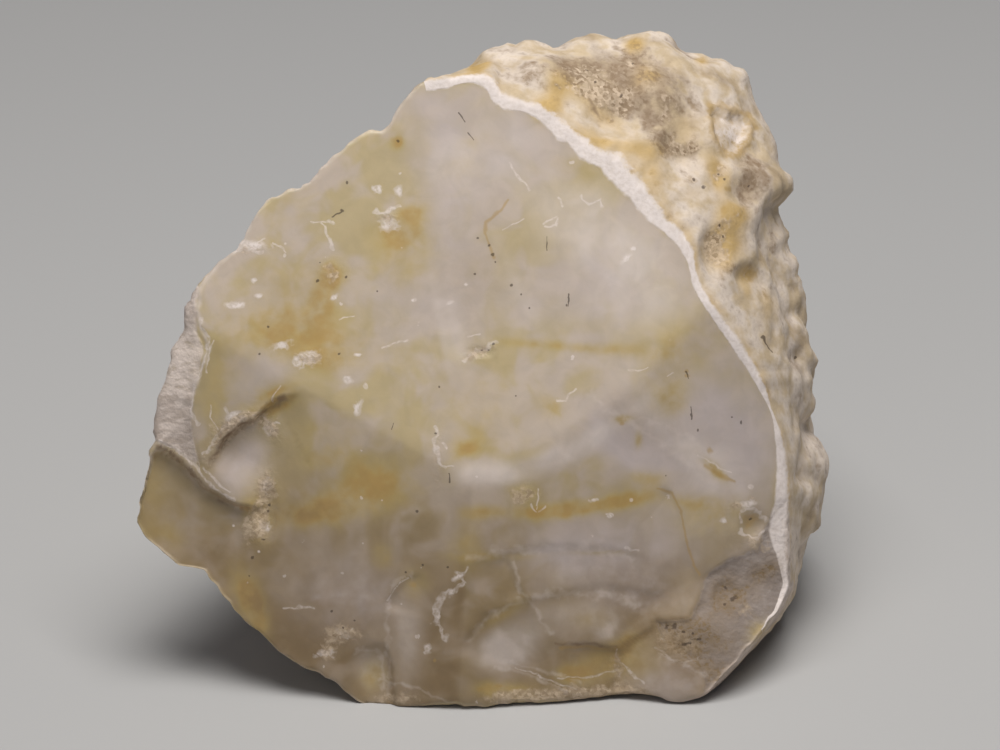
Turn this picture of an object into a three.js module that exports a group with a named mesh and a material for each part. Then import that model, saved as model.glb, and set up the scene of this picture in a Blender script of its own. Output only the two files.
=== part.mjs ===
// Rough opal: a broken piece of milky opal, still in its chalky, knobbly rind on the top, the right and
// the back. One solid stone that stands on the flat spots of its underside, at z = 0.
//
// Millimetres, +Z up, the broken face towards -Y. The shape is set out in face coordinates, which lie
// along the broken face: u to the right, v up the face and w straight into the stone.

import * as THREE from 'three';
import { mergeVertices } from 'three/addons/utils/BufferGeometryUtils.js';

// Driving dimensions, in millimetres and degrees.
const faceLean = 24; // how far the broken face leans back from upright
const stoneDepth = 43; // from the broken face to the farthest point behind it
const backFullness = 3; // 2 rounds the back off like an ellipse, more keeps it fuller
const rindSwell = 1.7; // how soon the rind turns from the face to the side
const reliefLimit = 5; // no step or hollow of the face is deeper than this
const edgeRounding = 0.9; // rounding where the broken face meets the side
const backRounding = 3; // rounding where two broken surfaces of the back meet
const smoothBehind = 9; // depth over which the nicks of the outline run out
const floorDepth = 2.9; // depth of the front foot behind the highest part of the face
const originU = 1.6; // middle of the stone's box, across
const originY = 32.9; // middle of the stone's box, front to back
const meshDetail = 21; // 20 * (meshDetail + 1)^2 triangles
const settleRounds = 14; // rounds of evening out the triangles
const faceDensity = 1.35; // how much more closely the face is meshed than the back

const heart = { u: 1, v: 35, w: 19 }; // a point well inside, that sees the whole surface
const faceMiddle = { u: 0, v: 36.2 }; // the outlines are read as angle and radius about this point

// The widest outline of the stone, anticlockwise from the top left.
const widestOutline = [
  [-5.5, 69.4], [-7.3, 68.2], [-9.8, 64.3], [-12, 63.8], [-15.8, 61], [-19.6, 57.2], [-22.1, 56.3],
  [-24.2, 54.9], [-25.6, 51.9], [-28.3, 49.2], [-31.2, 46.1], [-32.4, 41.9], [-34.2, 36.8],
  [-35.3, 34.1], [-35.9, 30.6], [-36.3, 28.4], [-35.8, 26.9], [-37.1, 23.9], [-37.8, 20.8],
  [-37.1, 19], [-34.9, 17.3], [-32.8, 15.7], [-30.4, 15.5], [-27.3, 11.4], [-24.2, 8.4], [-21.5, 5.9],
  [-19.3, 4.5], [-15.6, 2.9], [-12.6, 0.3], [-8.8, -0.2], [-5.6, 0.8], [-2.3, 1], [0, 0.6], [3.6, 1.4],
  [6.8, 1], [10.8, 1.7], [15.4, 2.1], [19.7, 1.7], [21.7, 0.7], [24.6, 0.8], [26.9, 2.9], [29.4, 5.6],
  [31.5, 7.1], [33.4, 9.6], [35.6, 13.3], [36.3, 16.2], [36.9, 18.5], [38.5, 20], [38.1, 22],
  [38.5, 23.6], [39.3, 25.5], [38.9, 27.5], [37.9, 29.9], [37.2, 30.8], [37.8, 33.8], [37.4, 35.3],
  [38, 38.1], [37.1, 40.5], [36.7, 44.1], [36, 47.3], [35.6, 50], [34.8, 51.1], [33.8, 54.7],
  [33.9, 56.4], [35.1, 57.6], [34.4, 60.3], [32.8, 63.9], [31.7, 65.9], [30.8, 69.4], [29.9, 71.4],
  [27.3, 72.8], [23.3, 73.2], [20.3, 75.7], [17.9, 75.3], [13.6, 74.9], [10.8, 74.6], [8.2, 73.9],
  [6.2, 74.3], [2.9, 73.8], [0.3, 72.7], [-1.6, 70.9], [-3.3, 69.6],
];

// The edge of the broken face: on the right and the top it is where the rind begins, at the upper
// left a narrow bevel, and elsewhere it is the outline itself.
const faceEdge = [
  [-5.4, 69.3], [-7.3, 68.2], [-9.8, 64.3], [-12, 63.8], [-15.8, 61], [-19.6, 57.2], [-22.1, 56.3],
  [-24.2, 54.9], [-25.6, 51.9], [-28.4, 48.9], [-30.6, 46.1], [-30.4, 41.9], [-29.4, 39.7],
  [-31.3, 34.6], [-32.4, 30.8], [-35.4, 28.2], [-35.8, 26.9], [-37.1, 23.9], [-37.8, 20.8],
  [-37.1, 19], [-34.9, 17.3], [-32.8, 15.7], [-30.4, 15.5], [-27.3, 11.4], [-24.2, 8.4], [-21.5, 5.9],
  [-19.3, 4.5], [-15.6, 2.9], [-12.6, 0.3], [-8.8, -0.2], [-5.6, 0.8], [-2.3, 1], [0, 0.6], [3.6, 1.4],
  [6.8, 1], [10.8, 1.7], [15.4, 2.1], [19.7, 1.7], [21.5, 0.9], [24.2, 1.4], [25.5, 4.4], [27.7, 7.7],
  [30.4, 12.1], [32.9, 16.5], [33.8, 20.5], [33.6, 27.5], [32.9, 30.7], [31.9, 33.2], [30.6, 36.7],
  [28.8, 39.6], [26.6, 42.6], [24, 46.6], [23.1, 50.4], [20.5, 53.6], [17.5, 57.6], [15.3, 60.5],
  [13.1, 61.2], [10.8, 62.9], [9, 64.5], [6.2, 66.4], [2.1, 67.6], [0.7, 69.3], [-0.7, 69.5],
  [-3.3, 69.2],
];

// The outline without its nicks, which the stone takes farther back.
const plainOutline = [
  [36.8, 36], [35.6, 46], [33.2, 57], [30, 68.4], [21, 74], [12, 74], [1, 71.4], [-7, 67.5], [-17, 60],
  [-27, 50], [-33, 41], [-36, 30], [-36.5, 21], [-31.5, 14], [-22, 6], [-11, 0], [0, -1], [22, -1],
  [31, 7], [37, 17], [39, 26],
];

// Round the stone by angle in degrees: how deep behind the face it is widest, and how many
// millimetres it then narrows for each millimetre of depth.
const sideShape = [
  { angle: -65, widestDepth: 0, taper: 0 },
  { angle: -58, widestDepth: 4, taper: 0 },
  { angle: -50, widestDepth: 8, taper: 0 },
  { angle: -35, widestDepth: 11, taper: 0 },
  { angle: 0, widestDepth: 13, taper: 0 },
  { angle: 50, widestDepth: 17, taper: 0 },
  { angle: 70, widestDepth: 13, taper: 0.05 },
  { angle: 90, widestDepth: 8, taper: 0.1 },
  { angle: 99, widestDepth: 1, taper: 0.2 },
  { angle: 110, widestDepth: 0, taper: 0.35 },
  { angle: 160, widestDepth: 0.3, taper: 0.4 },
  { angle: 170, widestDepth: 1.5, taper: 0.4 },
  { angle: 186, widestDepth: 1, taper: 0.4 },
  { angle: 200, widestDepth: 0, taper: 0.5 },
  { angle: 230, widestDepth: 0, taper: 0.55 },
  { angle: 250, widestDepth: 0, taper: 0.3 },
  { angle: 270, widestDepth: 0, taper: 0 },
  { angle: 295, widestDepth: 0, taper: 0 },
];

// The three fractures of the face meet at one low peak. Slopes are depth gained per millimetre, and
// hollow is what the slope to the right gains for each millimetre.
const peak = { u: -0.5, v: 25.3 };
const fractures = [
  { right: 0, up: 0.12, hollow: 0 }, // the large upper one
  { right: -0.13, up: -0.115, hollow: 0 }, // lower left
  { right: 0.085, up: -0.13, hollow: 0.004 }, // lower right
];

// The lower right corner of the face stands forward.
const heel = { u: 28, v: 3, wide: 14, high: 12, depth: 4 };

// Steps of the face. Walking along the line, the face drops on the right-hand side and comes back
// within the reach.
const ledges = [
  { line: [[-41, 31.5], [-35.8, 29.3], [-32.8, 27.4], [-30.1, 24.6], [-23, 22.2]], drop: 1.7, reach: 9 },
  { line: [[-30, 26], [-28, 29.8], [-25.9, 31.6], [-22.4, 34.1], [-19, 35]], drop: 1.3, reach: 5 },
  { line: [[7.5, 7.1], [11.5, 7.4], [14.9, 6.9], [16.8, 8], [20, 11]], drop: 0.9, reach: 4 },
  { line: [[-10.5, 8], [-9.6, 3.6], [-9.1, -1]], drop: 0.8, reach: 3.5 },
  { line: [[-2.6, 5.5], [-1.8, 7.9], [0.6, 10.7], [4.7, 12.3], [7, 12.4]], drop: 0.7, reach: 6 },
  { line: [[-2, 16], [4.4, 17.9], [8.7, 18.3], [14.2, 18], [20, 16.6]], drop: 0.5, reach: 5 },
  { line: [[5, 12], [7.1, 12.7], [13.1, 14], [18.6, 13.1], [21, 12]], drop: 0.5, reach: 4 },
];

// Hollows of the face and the rind, with negative depths for swellings.
const faceHollows = [
  { u: -24.5, v: 27, wide: 5.5, high: 5, depth: 0.5 }, // smooth scoop under the lip
  { u: -23.4, v: 22, wide: 1.6, high: 4, depth: 0.6 }, // rough seam
  { u: -12.2, v: 3.9, wide: 2, high: 4.4, depth: 0.5 }, // shell-like chip
  { u: 5, v: 5.5, wide: 6, high: 6, depth: 0.5 }, // scar over the arch
  { u: 30, v: 20.4, wide: 2, high: 2, depth: 0.8 }, // round pit
  { u: 24, v: 5.5, wide: 4, high: 4, depth: 0.6 },
];
const rindHollows = [
  { u: 27.6, v: 63.2, wide: 3.4, high: 3.4, depth: 1.5 }, // ringed pit
  { u: 25.7, v: 50.8, wide: 2, high: 3.8, depth: 1 },
  { u: 29.3, v: 57.3, wide: 2.4, high: 2.4, depth: 0.9 },
  { u: 32.6, v: 58.2, wide: 2.4, high: 2.2, depth: -0.6 },
  { u: 29.5, v: 47.8, wide: 2, high: 1.7, depth: 0.9 },
  { u: 15.5, v: 65, wide: 5, high: 3, depth: 0.9 },
  { u: 20.5, v: 69.5, wide: 4, high: 5, depth: -1.2 },
  { u: 22, v: 61, wide: 3, high: 4, depth: 0.8 },
  { u: 7, v: 70, wide: 4, high: 2.4, depth: -0.8 },
];
const rindHollowDepth = 24; // these hollows lie on the front of the stone only

// Shallow shell-like fractures that cut the rounded back: outward direction, distance from the
// heart, and radius of the curve.
const backFractures = [
  { direction: [-0.62, 0.36, 0.7], distance: 20, radius: 55 },
  { direction: [-0.52, -0.26, 0.81], distance: 22.5, radius: 45 },
  { direction: [0.38, 0.16, 0.91], distance: 23, radius: 90 },
];

// Knobs of the rind: a knob every few millimetres, each a rounded swelling.
const knobSpacing = 5.2;
const knobHeight = 1.2;

// The underside: flat feet that touch down, and the hollows between them.
const feet = [
  { x: -8, y: 6, radius: 7 },
  { x: 23, y: 10, radius: 7 },
  { x: 6, y: 38, radius: 12 },
];
const footFlat = 0.6; // share of each foot's radius that is flat
const undersideHollow = 2.2;
const hollowStart = 4; // the hollow begins this far back from the front foot and is full at hollowFull
const hollowFull = 10;

const lean = THREE.MathUtils.degToRad(faceLean);

// Height above the surface that the stone stands on.
function heightAt(u, v, w) {
  return v * Math.cos(lean) - (w - floorDepth) * Math.sin(lean);
}

function distanceBack(v, w) {
  return v * Math.sin(lean) + w * Math.cos(lean);
}

// The larger of two numbers, with the corner between them rounded.
function roundedMax(a, b, rounding) {
  const overlap = Math.max(rounding - Math.abs(a - b), 0) / rounding;
  return Math.max(a, b) + overlap * overlap * rounding * 0.25;
}

function asAngles(outline) {
  const corners = outline.map(([u, v]) => {
    const across = u - faceMiddle.u;
    const up = v - faceMiddle.v;
    return { angle: Math.atan2(up, across), radius: Math.hypot(across, up) };
  });
  return corners.sort((a, b) => a.angle - b.angle);
}

const outlineByAngle = asAngles(widestOutline);
const edgeByAngle = asAngles(faceEdge);
const plainByAngle = asAngles(plainOutline);

// The value between the two neighbours of an angle, in a list sorted by angle, round the full turn.
function betweenAngles(list, angle, turn, read) {
  let after = list.findIndex((item) => item.angle > angle);
  if (after < 0) after = list.length;
  const before = list[(after + list.length - 1) % list.length];
  const next = list[after % list.length];
  const start = after === 0 ? before.angle - turn : before.angle;
  const end = after === list.length ? next.angle + turn : next.angle;
  return THREE.MathUtils.lerp(read(before), read(next), (angle - start) / (end - start));
}

// The side's radii, widest depth and taper for every half degree, from -180 degrees on.
const spokesPerDegree = 2;
const spokes = Array.from({ length: 360 * spokesPerDegree }, (_, i) => {
  const degrees = i / spokesPerDegree - 180;
  const angle = THREE.MathUtils.degToRad(degrees);
  const radiusOf = (outline) => betweenAngles(outline, angle, 2 * Math.PI, (corner) => corner.radius);
  const turned = degrees < sideShape[0].angle ? degrees + 360 : degrees;
  return {
    edge: radiusOf(edgeByAngle),
    widest: radiusOf(outlineByAngle),
    plain: radiusOf(plainByAngle),
    widestDepth: betweenAngles(sideShape, turned, 360, (side) => side.widestDepth),
    taper: betweenAngles(sideShape, turned, 360, (side) => side.taper),
  };
});

// Radius of the stone about the middle of the face, at a depth behind the face.
function sideRadius(angle, depth) {
  const place = (THREE.MathUtils.radToDeg(angle) + 180) * spokesPerDegree;
  const first = spokes[Math.floor(place) % spokes.length];
  const second = spokes[(Math.floor(place) + 1) % spokes.length];
  const between = (name) => THREE.MathUtils.lerp(first[name], second[name], place - Math.floor(place));
  const edge = between('edge');
  if (depth <= 0) return edge;
  const widest = between('widest');
  const widestDepth = between('widestDepth');
  if (depth < widestDepth) {
    return edge + (widest - edge) * (1 - (1 - depth / widestDepth) ** rindSwell);
  }
  const behind = depth - widestDepth;
  const back = Math.min(behind / (stoneDepth - widestDepth), 1);
  const outline = THREE.MathUtils.lerp(widest, between('plain'), Math.min(behind / smoothBehind, 1));
  return (outline - between('taper') * behind) * (1 - back ** backFullness) ** (1 / backFullness);
}

function ledgeDrop(u, v, ledge) {
  const { line, drop, reach } = ledge;
  let nearest = Infinity;
  let side = 0;
  let along = 0;
  for (let i = 0; i + 1 < line.length; i += 1) {
    const [startU, startV] = line[i];
    const stepU = line[i + 1][0] - startU;
    const stepV = line[i + 1][1] - startV;
    const share = ((u - startU) * stepU + (v - startV) * stepV) / (stepU * stepU + stepV * stepV);
    const held = THREE.MathUtils.clamp(share, 0, 1);
    const gapU = u - startU - held * stepU;
    const gapV = v - startV - held * stepV;
    const gap = Math.hypot(gapU, gapV);
    if (gap < nearest) {
      nearest = gap;
      side = Math.sign(gapU * stepV - gapV * stepU);
      along = (i + held) / (line.length - 1);
    }
  }
  const ends = THREE.MathUtils.smoothstep(Math.min(along, 1 - along), 0, 0.2);
  const rise = THREE.MathUtils.smoothstep(side * nearest, -0.5, 0.7);
  return drop * ends * rise * Math.exp(-((nearest / reach) ** 2));
}

function hollowDepth(u, v, { u: middleU, v: middleV, wide, high, depth }) {
  const inside = 1 - ((u - middleU) / wide) ** 2 - ((v - middleV) / high) ** 2;
  return inside > 0 ? depth * inside * Math.sqrt(inside) : 0;
}

// Depth of the three fractures of the broken face, without its small relief.
function fractureDepth(u, v) {
  const across = u - peak.u;
  const depths = fractures.map(({ right, up, hollow }) => {
    return right * across + up * (v - peak.v) + hollow * across * Math.max(across, 0);
  });
  return depths.reduce((a, b) => roundedMax(a, b, edgeRounding)) - hollowDepth(u, v, heel);
}

function faceRelief(u, v) {
  let relief = 0;
  for (const ledge of ledges) relief += ledgeDrop(u, v, ledge);
  for (const hollow of faceHollows) relief += hollowDepth(u, v, hollow);
  return relief;
}

function rindRelief(u, v, w) {
  if (w > rindHollowDepth) return 0;
  return rindHollows.reduce((relief, hollow) => relief + hollowDepth(u, v, hollow), 0);
}

// Height of the underside over the surface that the stone stands on.
function undersideAt(x, y) {
  let height = undersideHollow * THREE.MathUtils.smoothstep(y, hollowStart, hollowFull);
  for (const foot of feet) {
    const away = Math.hypot(x - foot.x, y - foot.y) / foot.radius;
    height *= THREE.MathUtils.smoothstep(away, footFlat, 1.6);
  }
  return height;
}

// A repeatable number from 0 to 1 for each cell of a grid.
function cellNumber(x, y, z, salt) {
  let mixed = Math.imul(x, 73856093) ^ Math.imul(y, 19349663) ^ Math.imul(z, 83492791) ^ salt;
  mixed = Math.imul(mixed ^ (mixed >>> 15), 2246822519);
  mixed = Math.imul(mixed ^ (mixed >>> 13), 3266489917);
  return ((mixed ^ (mixed >>> 16)) >>> 0) / 4294967296;
}

// 1 on top of each knob and 0 in the creases between them.
function knobs(u, v, w) {
  const place = [u / knobSpacing, v / knobSpacing, w / knobSpacing];
  const cell = place.map(Math.floor);
  let nearest = 4;
  for (let i = -1; i <= 1; i += 1) {
    for (let j = -1; j <= 1; j += 1) {
      for (let k = -1; k <= 1; k += 1) {
        const [x, y, z] = [cell[0] + i, cell[1] + j, cell[2] + k];
        const gapX = x + cellNumber(x, y, z, 11) - place[0];
        const gapY = y + cellNumber(x, y, z, 23) - place[1];
        const gapZ = z + cellNumber(x, y, z, 37) - place[2];
        nearest = Math.min(nearest, gapX * gapX + gapY * gapY + gapZ * gapZ);
      }
    }
  }
  return 1 - Math.min(nearest, 1);
}

// How much of the rind's relief a place has: all of it on the top, the right and the back, none on
// the broken face and on the broken left side.
function rindShare(angle, depth) {
  const degrees = THREE.MathUtils.radToDeg(angle);
  const behind = THREE.MathUtils.smoothstep(depth, 0.5, 4);
  const fromTopRight = Math.abs(((degrees - 38 + 540) % 360) - 180);
  return behind * (1 - THREE.MathUtils.smoothstep(fromTopRight, 62, 105));
}

function backCut(u, v, w, { direction, distance, radius }) {
  const reach = distance + radius;
  return radius - Math.hypot(
    u - heart.u - direction[0] * reach,
    v - heart.v - direction[1] * reach,
    w - heart.w - direction[2] * reach,
  );
}

// Below zero inside the stone, above zero outside it.
function outside(u, v, w) {
  const across = u - faceMiddle.u;
  const up = v - faceMiddle.v;
  const angle = Math.atan2(up, across);
  const depth = w - fractureDepth(u, v);
  const face = (depth < reliefLimit ? faceRelief(u, v) : 0) - depth;
  let side = 0.8 * (Math.hypot(across, up) - sideRadius(angle, depth)) + rindRelief(u, v, w);
  const rind = rindShare(angle, depth);
  if (rind > 0) side -= knobHeight * rind * (knobs(u, v, w) - 0.8);
  let result = roundedMax(face, side, edgeRounding);
  for (const cut of backFractures) result = roundedMax(result, backCut(u, v, w, cut), backRounding);
  const under = undersideAt(u, distanceBack(v, w)) - heightAt(u, v, w);
  return roundedMax(result, under, edgeRounding);
}

// The point of the surface seen from the heart in a direction.
function onSurface(direction) {
  const step = 2.5;
  const at = (reach) => outside(
    heart.u + reach * direction.x,
    heart.v + reach * direction.y,
    heart.w + reach * direction.z,
  );
  let far = 8;
  while (at(far) < 0) far += step;
  let near = far - step;
  for (let i = 0; i < 14; i += 1) {
    const middle = (near + far) / 2;
    if (at(middle) < 0) near = middle;
    else far = middle;
  }
  return direction.clone().multiplyScalar(near).add(new THREE.Vector3(heart.u, heart.v, heart.w));
}

function neighboursOf(geometry) {
  const neighbours = Array.from({ length: geometry.attributes.position.count }, () => new Set());
  const corners = geometry.index.array;
  for (let i = 0; i < corners.length; i += 3) {
    for (let j = 0; j < 3; j += 1) {
      neighbours[corners[i + j]].add(corners[i + (j + 1) % 3]);
      neighbours[corners[i + (j + 1) % 3]].add(corners[i + j]);
    }
  }
  return neighbours;
}

// A closed ball of triangles is drawn onto the surface, evened out, and stood upright.
function stoneGeometry() {
  const ball = new THREE.IcosahedronGeometry(1, meshDetail);
  ball.deleteAttribute('normal');
  ball.deleteAttribute('uv');
  const geometry = mergeVertices(ball, 1e-4);
  const positions = geometry.attributes.position;
  const middle = new THREE.Vector3(heart.u, heart.v, heart.w);
  let points = [];
  for (let i = 0; i < positions.count; i += 1) {
    const spread = new THREE.Vector3().fromBufferAttribute(positions, i);
    spread.z = 0.55 * (2 * ((spread.z + 1) / 2) ** faceDensity - 1);
    points.push(onSurface(spread.normalize()));
  }
  const neighbours = neighboursOf(geometry);
  for (let round = 0; round < settleRounds; round += 1) {
    points = points.map((point, i) => {
      const mean = new THREE.Vector3();
      let total = 0;
      for (const other of neighbours[i]) {
        const pull = THREE.MathUtils.lerp(faceDensity, 1, THREE.MathUtils.smoothstep(points[other].z, 8, 20));
        mean.addScaledVector(points[other], pull);
        total += pull;
      }
      return onSurface(mean.divideScalar(total).sub(middle).normalize());
    });
  }
  points.forEach(({ x: u, y: v, z: w }, i) => {
    const height = heightAt(u, v, w);
    positions.setXYZ(i, u - originU, distanceBack(v, w) - originY, height < 0.01 ? 0 : height);
  });
  // Face coordinates are left-handed, so each triangle is turned round to face outwards.
  const corners = geometry.index.array;
  for (let i = 0; i < corners.length; i += 3) {
    [corners[i], corners[i + 1]] = [corners[i + 1], corners[i]];
  }
  geometry.computeVertexNormals();
  return geometry;
}

const chalkyOpal = new THREE.MeshStandardMaterial({ color: 0xc3b49c, roughness: 0.45, metalness: 0 });

const stone = new THREE.Mesh(stoneGeometry(), chalkyOpal);
stone.name = 'rough_opal';

const group = new THREE.Group();
group.add(stone);
export default group;
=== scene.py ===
import math
from functools import partial, reduce

import bpy
import numpy as np
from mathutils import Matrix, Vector


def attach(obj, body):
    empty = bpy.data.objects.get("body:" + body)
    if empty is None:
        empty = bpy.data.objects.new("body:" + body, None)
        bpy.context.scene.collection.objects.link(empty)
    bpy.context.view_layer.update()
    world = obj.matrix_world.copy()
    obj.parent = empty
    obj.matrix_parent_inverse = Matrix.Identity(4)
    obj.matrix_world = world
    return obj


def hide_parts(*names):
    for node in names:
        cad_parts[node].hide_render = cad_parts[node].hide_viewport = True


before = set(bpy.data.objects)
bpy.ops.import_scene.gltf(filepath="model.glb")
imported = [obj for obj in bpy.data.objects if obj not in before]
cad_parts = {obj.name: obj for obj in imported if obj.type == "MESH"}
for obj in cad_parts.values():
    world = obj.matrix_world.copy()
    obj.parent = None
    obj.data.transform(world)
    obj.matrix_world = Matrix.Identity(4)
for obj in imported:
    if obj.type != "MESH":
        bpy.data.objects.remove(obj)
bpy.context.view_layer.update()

# Places on the stone are in face coordinates, in millimetres: u to the right, v up the broken face
# and w straight into the stone. faceToFrame turns them into the frame's metres.
mm = 0.001
mmPerMetre = 1000
farAway = 9  # stands for a place that no mark reaches

stance = {
    "faceLean": 24,  # degrees the broken face leans back from upright
    "floorDepth": 2.9,  # depth of the front foot behind the highest part of the face
    "originU": 1.6,
    "originY": 32.9,
}


# Height above the floor and distance back.
def heightAndBack(v, w):
    lean = math.radians(stance["faceLean"])
    height = v * math.cos(lean) - (w - stance["floorDepth"]) * math.sin(lean)
    return height, v * math.sin(lean) + w * math.cos(lean)


def faceToFrame(points):
    u, v, w = np.moveaxis(np.asarray(points, dtype=float), -1, 0)
    height, back = heightAndBack(v, w)
    return np.stack((u - stance["originU"], back - stance["originY"], height), axis=-1) * mm


view = {
    "lookAt": (2.2, 36.8, 2.5),  # face coordinates, mm
    "distance": 550,  # mm, square on to the broken face
    "frameWidth": 109,  # mm across the frame at that distance
    "sensor": 36,
}


def inScene(name, data):
    made = bpy.data.objects.new(name, data)
    bpy.context.scene.collection.objects.link(made)
    return made


def addCamera():
    data = bpy.data.cameras.new("camera")
    data.sensor_width = view["sensor"]
    data.lens = view["sensor"] * view["distance"] / view["frameWidth"]
    camera = inScene("camera", data)
    u, v, w = view["lookAt"]
    camera.location = faceToFrame((u, v, w - view["distance"]))
    camera.rotation_euler = (math.radians(90 - stance["faceLean"]), 0, 0)
    bpy.context.scene.camera = camera


stoneForm = {
    "depth": 43,  # from the broken face to the farthest point behind it
    "backFullness": 3,
    "rindSwell": 1.7,  # how soon the rind turns from the face to the side
    "widestFrom": 0.5,  # share of that turn still to go where the side nears its widest outline
    "sideSlope": 0.8,  # turns the gap to the side into a distance
    "edgeRounding": 0.45,
    "faceRounding": 0.35,  # where the fractures of the face meet
    "backRounding": 3,
    "nickSpacing": 1.3,  # degrees round the outline
    "nickDepth": 0.12,
    "nickSeed": 4,
    "spokeSoftening": 3,
    "swellSoftening": 36,
    "smoothBehind": 6,  # depth over which the nicks of the outline run out
    "gridSteps": 128,  # 12 * gridSteps^2 triangles
    "frontShare": 0.5,  # share of the triangles that lie on the broken face
    "backThinning": 1.25,  # more than 1 thins the triangles out towards the back
    "settleRounds": 10,
    "knobSpacing": 5.2,
    "knobWander": 2.7,
    "knobBend": 0.3,
    "knobHeight": 1.0,
    "creaseLevel": 0.8,  # share of a knob's height that sinks below the plain rind
    "rindHollowDepth": 24,  # the rind's own hollows lie on the front only
    "faceEnds": (-0.25, 0.35),  # mm over which the side turns into the face
    "footHeights": (0.4, 3),  # below these the flat feet keep their shape
    "onFloorBelow": 0.00001,  # metres
    "frontFacing": 0.05,  # lines and flecks lie where the surface looks to the front
}
heart = np.array((1.0, 35.0, 19.0))  # a point inside that sees the whole surface
surfaceReach = (2.0, 75.0)  # nearest and farthest the surface lies from it
faceMiddle = (0, 36.2)  # angles round the stone are taken about this point
spokesPerDegree = 8

# The widest outline of the stone, anticlockwise from the top left.
silhouette = [
    (-5.5, 69.4), (-6.8, 68.7), (-7.3, 68.2), (-8.7, 66.2), (-9.8, 64.3), (-10.9, 63.6), (-12, 63.8),
    (-13.7, 62.8), (-15.8, 61), (-17.9, 58.9), (-19.6, 57.2), (-20.8, 57.2), (-22.1, 56.3), (-22.8, 56.3),
    (-24.2, 54.9), (-24.8, 53.7), (-25.6, 51.9), (-26.6, 50.5), (-28.3, 49.2), (-30, 47.6), (-31.2, 46.1),
    (-32.1, 44.3), (-32.4, 41.9), (-33.6, 39.7), (-34.2, 36.8), (-35.3, 34.1), (-35.8, 30.6),
    (-35.6, 29.5), (-36.4, 28.4), (-35.9, 27.5), (-36, 26.9), (-37.1, 23.9), (-37.8, 20.8), (-37.1, 19),
    (-34.9, 17.3), (-32.8, 15.7), (-30.4, 15.5), (-28.7, 13.1), (-27.3, 11.4), (-25.6, 9.7), (-24.2, 8.4),
    (-22.9, 7.3), (-21.5, 5.9), (-19.3, 4.5), (-17.4, 4.1), (-15.6, 2.9), (-14.2, 1.5), (-12.6, 0.3),
    (-10.2, 0), (-8.8, -0.2), (-7.4, 0.5), (-5.6, 0.8), (-3.9, 0.9), (-2.3, 1), (-1.5, 0.7), (0, 0.6),
    (1.8, 0.9), (3.6, 1.4), (5, 1.4), (6.8, 1), (8.7, 1.1), (10.8, 1.7), (13.2, 1.5), (15.4, 2), (18, 2),
    (19.7, 1.7), (20.2, 1.2), (21.7, 0.7), (24.6, 0.8), (26.9, 2.9), (29.4, 5.6), (31.5, 7.1),
    (33.4, 9.6), (34.9, 11.5), (35.6, 13.3), (35.7, 14.4), (36.3, 16.2), (36.9, 18.5), (38.4, 19.8),
    (38.5, 20.4), (38.1, 22), (38.5, 23.6), (39.3, 25.5), (38.9, 27.5), (38.6, 28.5), (38, 29.9),
    (37.2, 30.8), (37.3, 32.1), (37.8, 33.3), (37.8, 34.1), (37.4, 35.3), (37.8, 36.5), (38.1, 38.1),
    (37.7, 39.5), (37.1, 40.5), (36.9, 42), (36.7, 44.1), (36.6, 45.3), (36, 47.3), (35.6, 48.1),
    (35.9, 49), (35.6, 50), (34.8, 51.1), (34.7, 52.4), (34.2, 53.6), (33.8, 54.7), (33.6, 55.5),
    (33.9, 56.4), (34.8, 57.2), (35.2, 57.9), (34.4, 60.3), (33.2, 62.3), (32.8, 63.9), (31.7, 65.9),
    (31.2, 68.2), (30.8, 69.4), (29.9, 71.4), (27.3, 72.8), (25, 73.2), (23.3, 73.2), (21.8, 74.4),
    (20.3, 75.7), (19.1, 75.9), (17.9, 75.3), (16.2, 75.2), (15.1, 74.7), (13.6, 74.9), (12.5, 75.2),
    (10.8, 74.6), (9.1, 74), (8.2, 73.9), (6.2, 74.3), (3.6, 73.8), (2.9, 73.8), (0.3, 72.7),
    (-1.6, 70.9), (-3.3, 69.6),
]

# The outline without its nicks, which the stone takes farther back.
plainOutline = [
    (36.8, 36), (35.6, 46), (33.2, 57), (30, 68.4), (21, 74), (12, 74), (1, 71.4), (-7, 67.5), (-17, 60),
    (-27, 50), (-33, 41), (-36, 30), (-36.5, 21), (-31.5, 14), (-22, 6), (-11, 0), (0, -1), (22, -1),
    (31, 7), (37, 17), (39, 26),
]

# The white band between the opal and the rind: its inner and its outer edge.
bandInner = [
    (-6.4, 67.9), (-4.9, 68.1), (-3.7, 68.2), (-2.2, 68.7), (-0.7, 68.9), (0.3, 68.5), (1, 67.8),
    (1.4, 66.7), (2.5, 65.9), (4.5, 65.7), (6.1, 65.1), (7.3, 64), (8.4, 62.7), (9.5, 62.3), (10.8, 60.7),
    (13.1, 59.4), (13.7, 58.5), (15.2, 57.3), (16.6, 55.8), (18.5, 53.5), (20.1, 52.4), (21.7, 50.8),
    (22.7, 49), (23.2, 46.7), (24, 44.9), (25.4, 42.9), (26.2, 41.7), (27.9, 39.3), (29.6, 36.9),
    (30.6, 35.1), (31.7, 33.2), (32.2, 31.7), (32.4, 30.1), (32.6, 27.9), (32.6, 25.1), (32.4, 22.8),
]
bandOuter = [
    (-3.3, 69.3), (-2.2, 69.5), (-0.7, 69.7), (0.7, 69.6), (1.8, 68.9), (2.1, 67.6), (3.6, 67),
    (6.3, 66.3), (7.8, 65.4), (9, 64.5), (10.8, 62.9), (13.1, 61.2), (15.3, 60.5), (17.5, 57.6),
    (19, 55.6), (20.5, 53.6), (22, 52.3), (23.1, 50.4), (23.5, 48.2), (24, 46.6), (25.1, 44.7),
    (26.6, 42.6), (28.1, 40.8), (28.8, 39.6), (30.6, 36.7), (31.4, 34.9), (31.9, 33.2), (32.9, 30.7),
    (33.5, 28), (33.6, 20.5),
]

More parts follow.
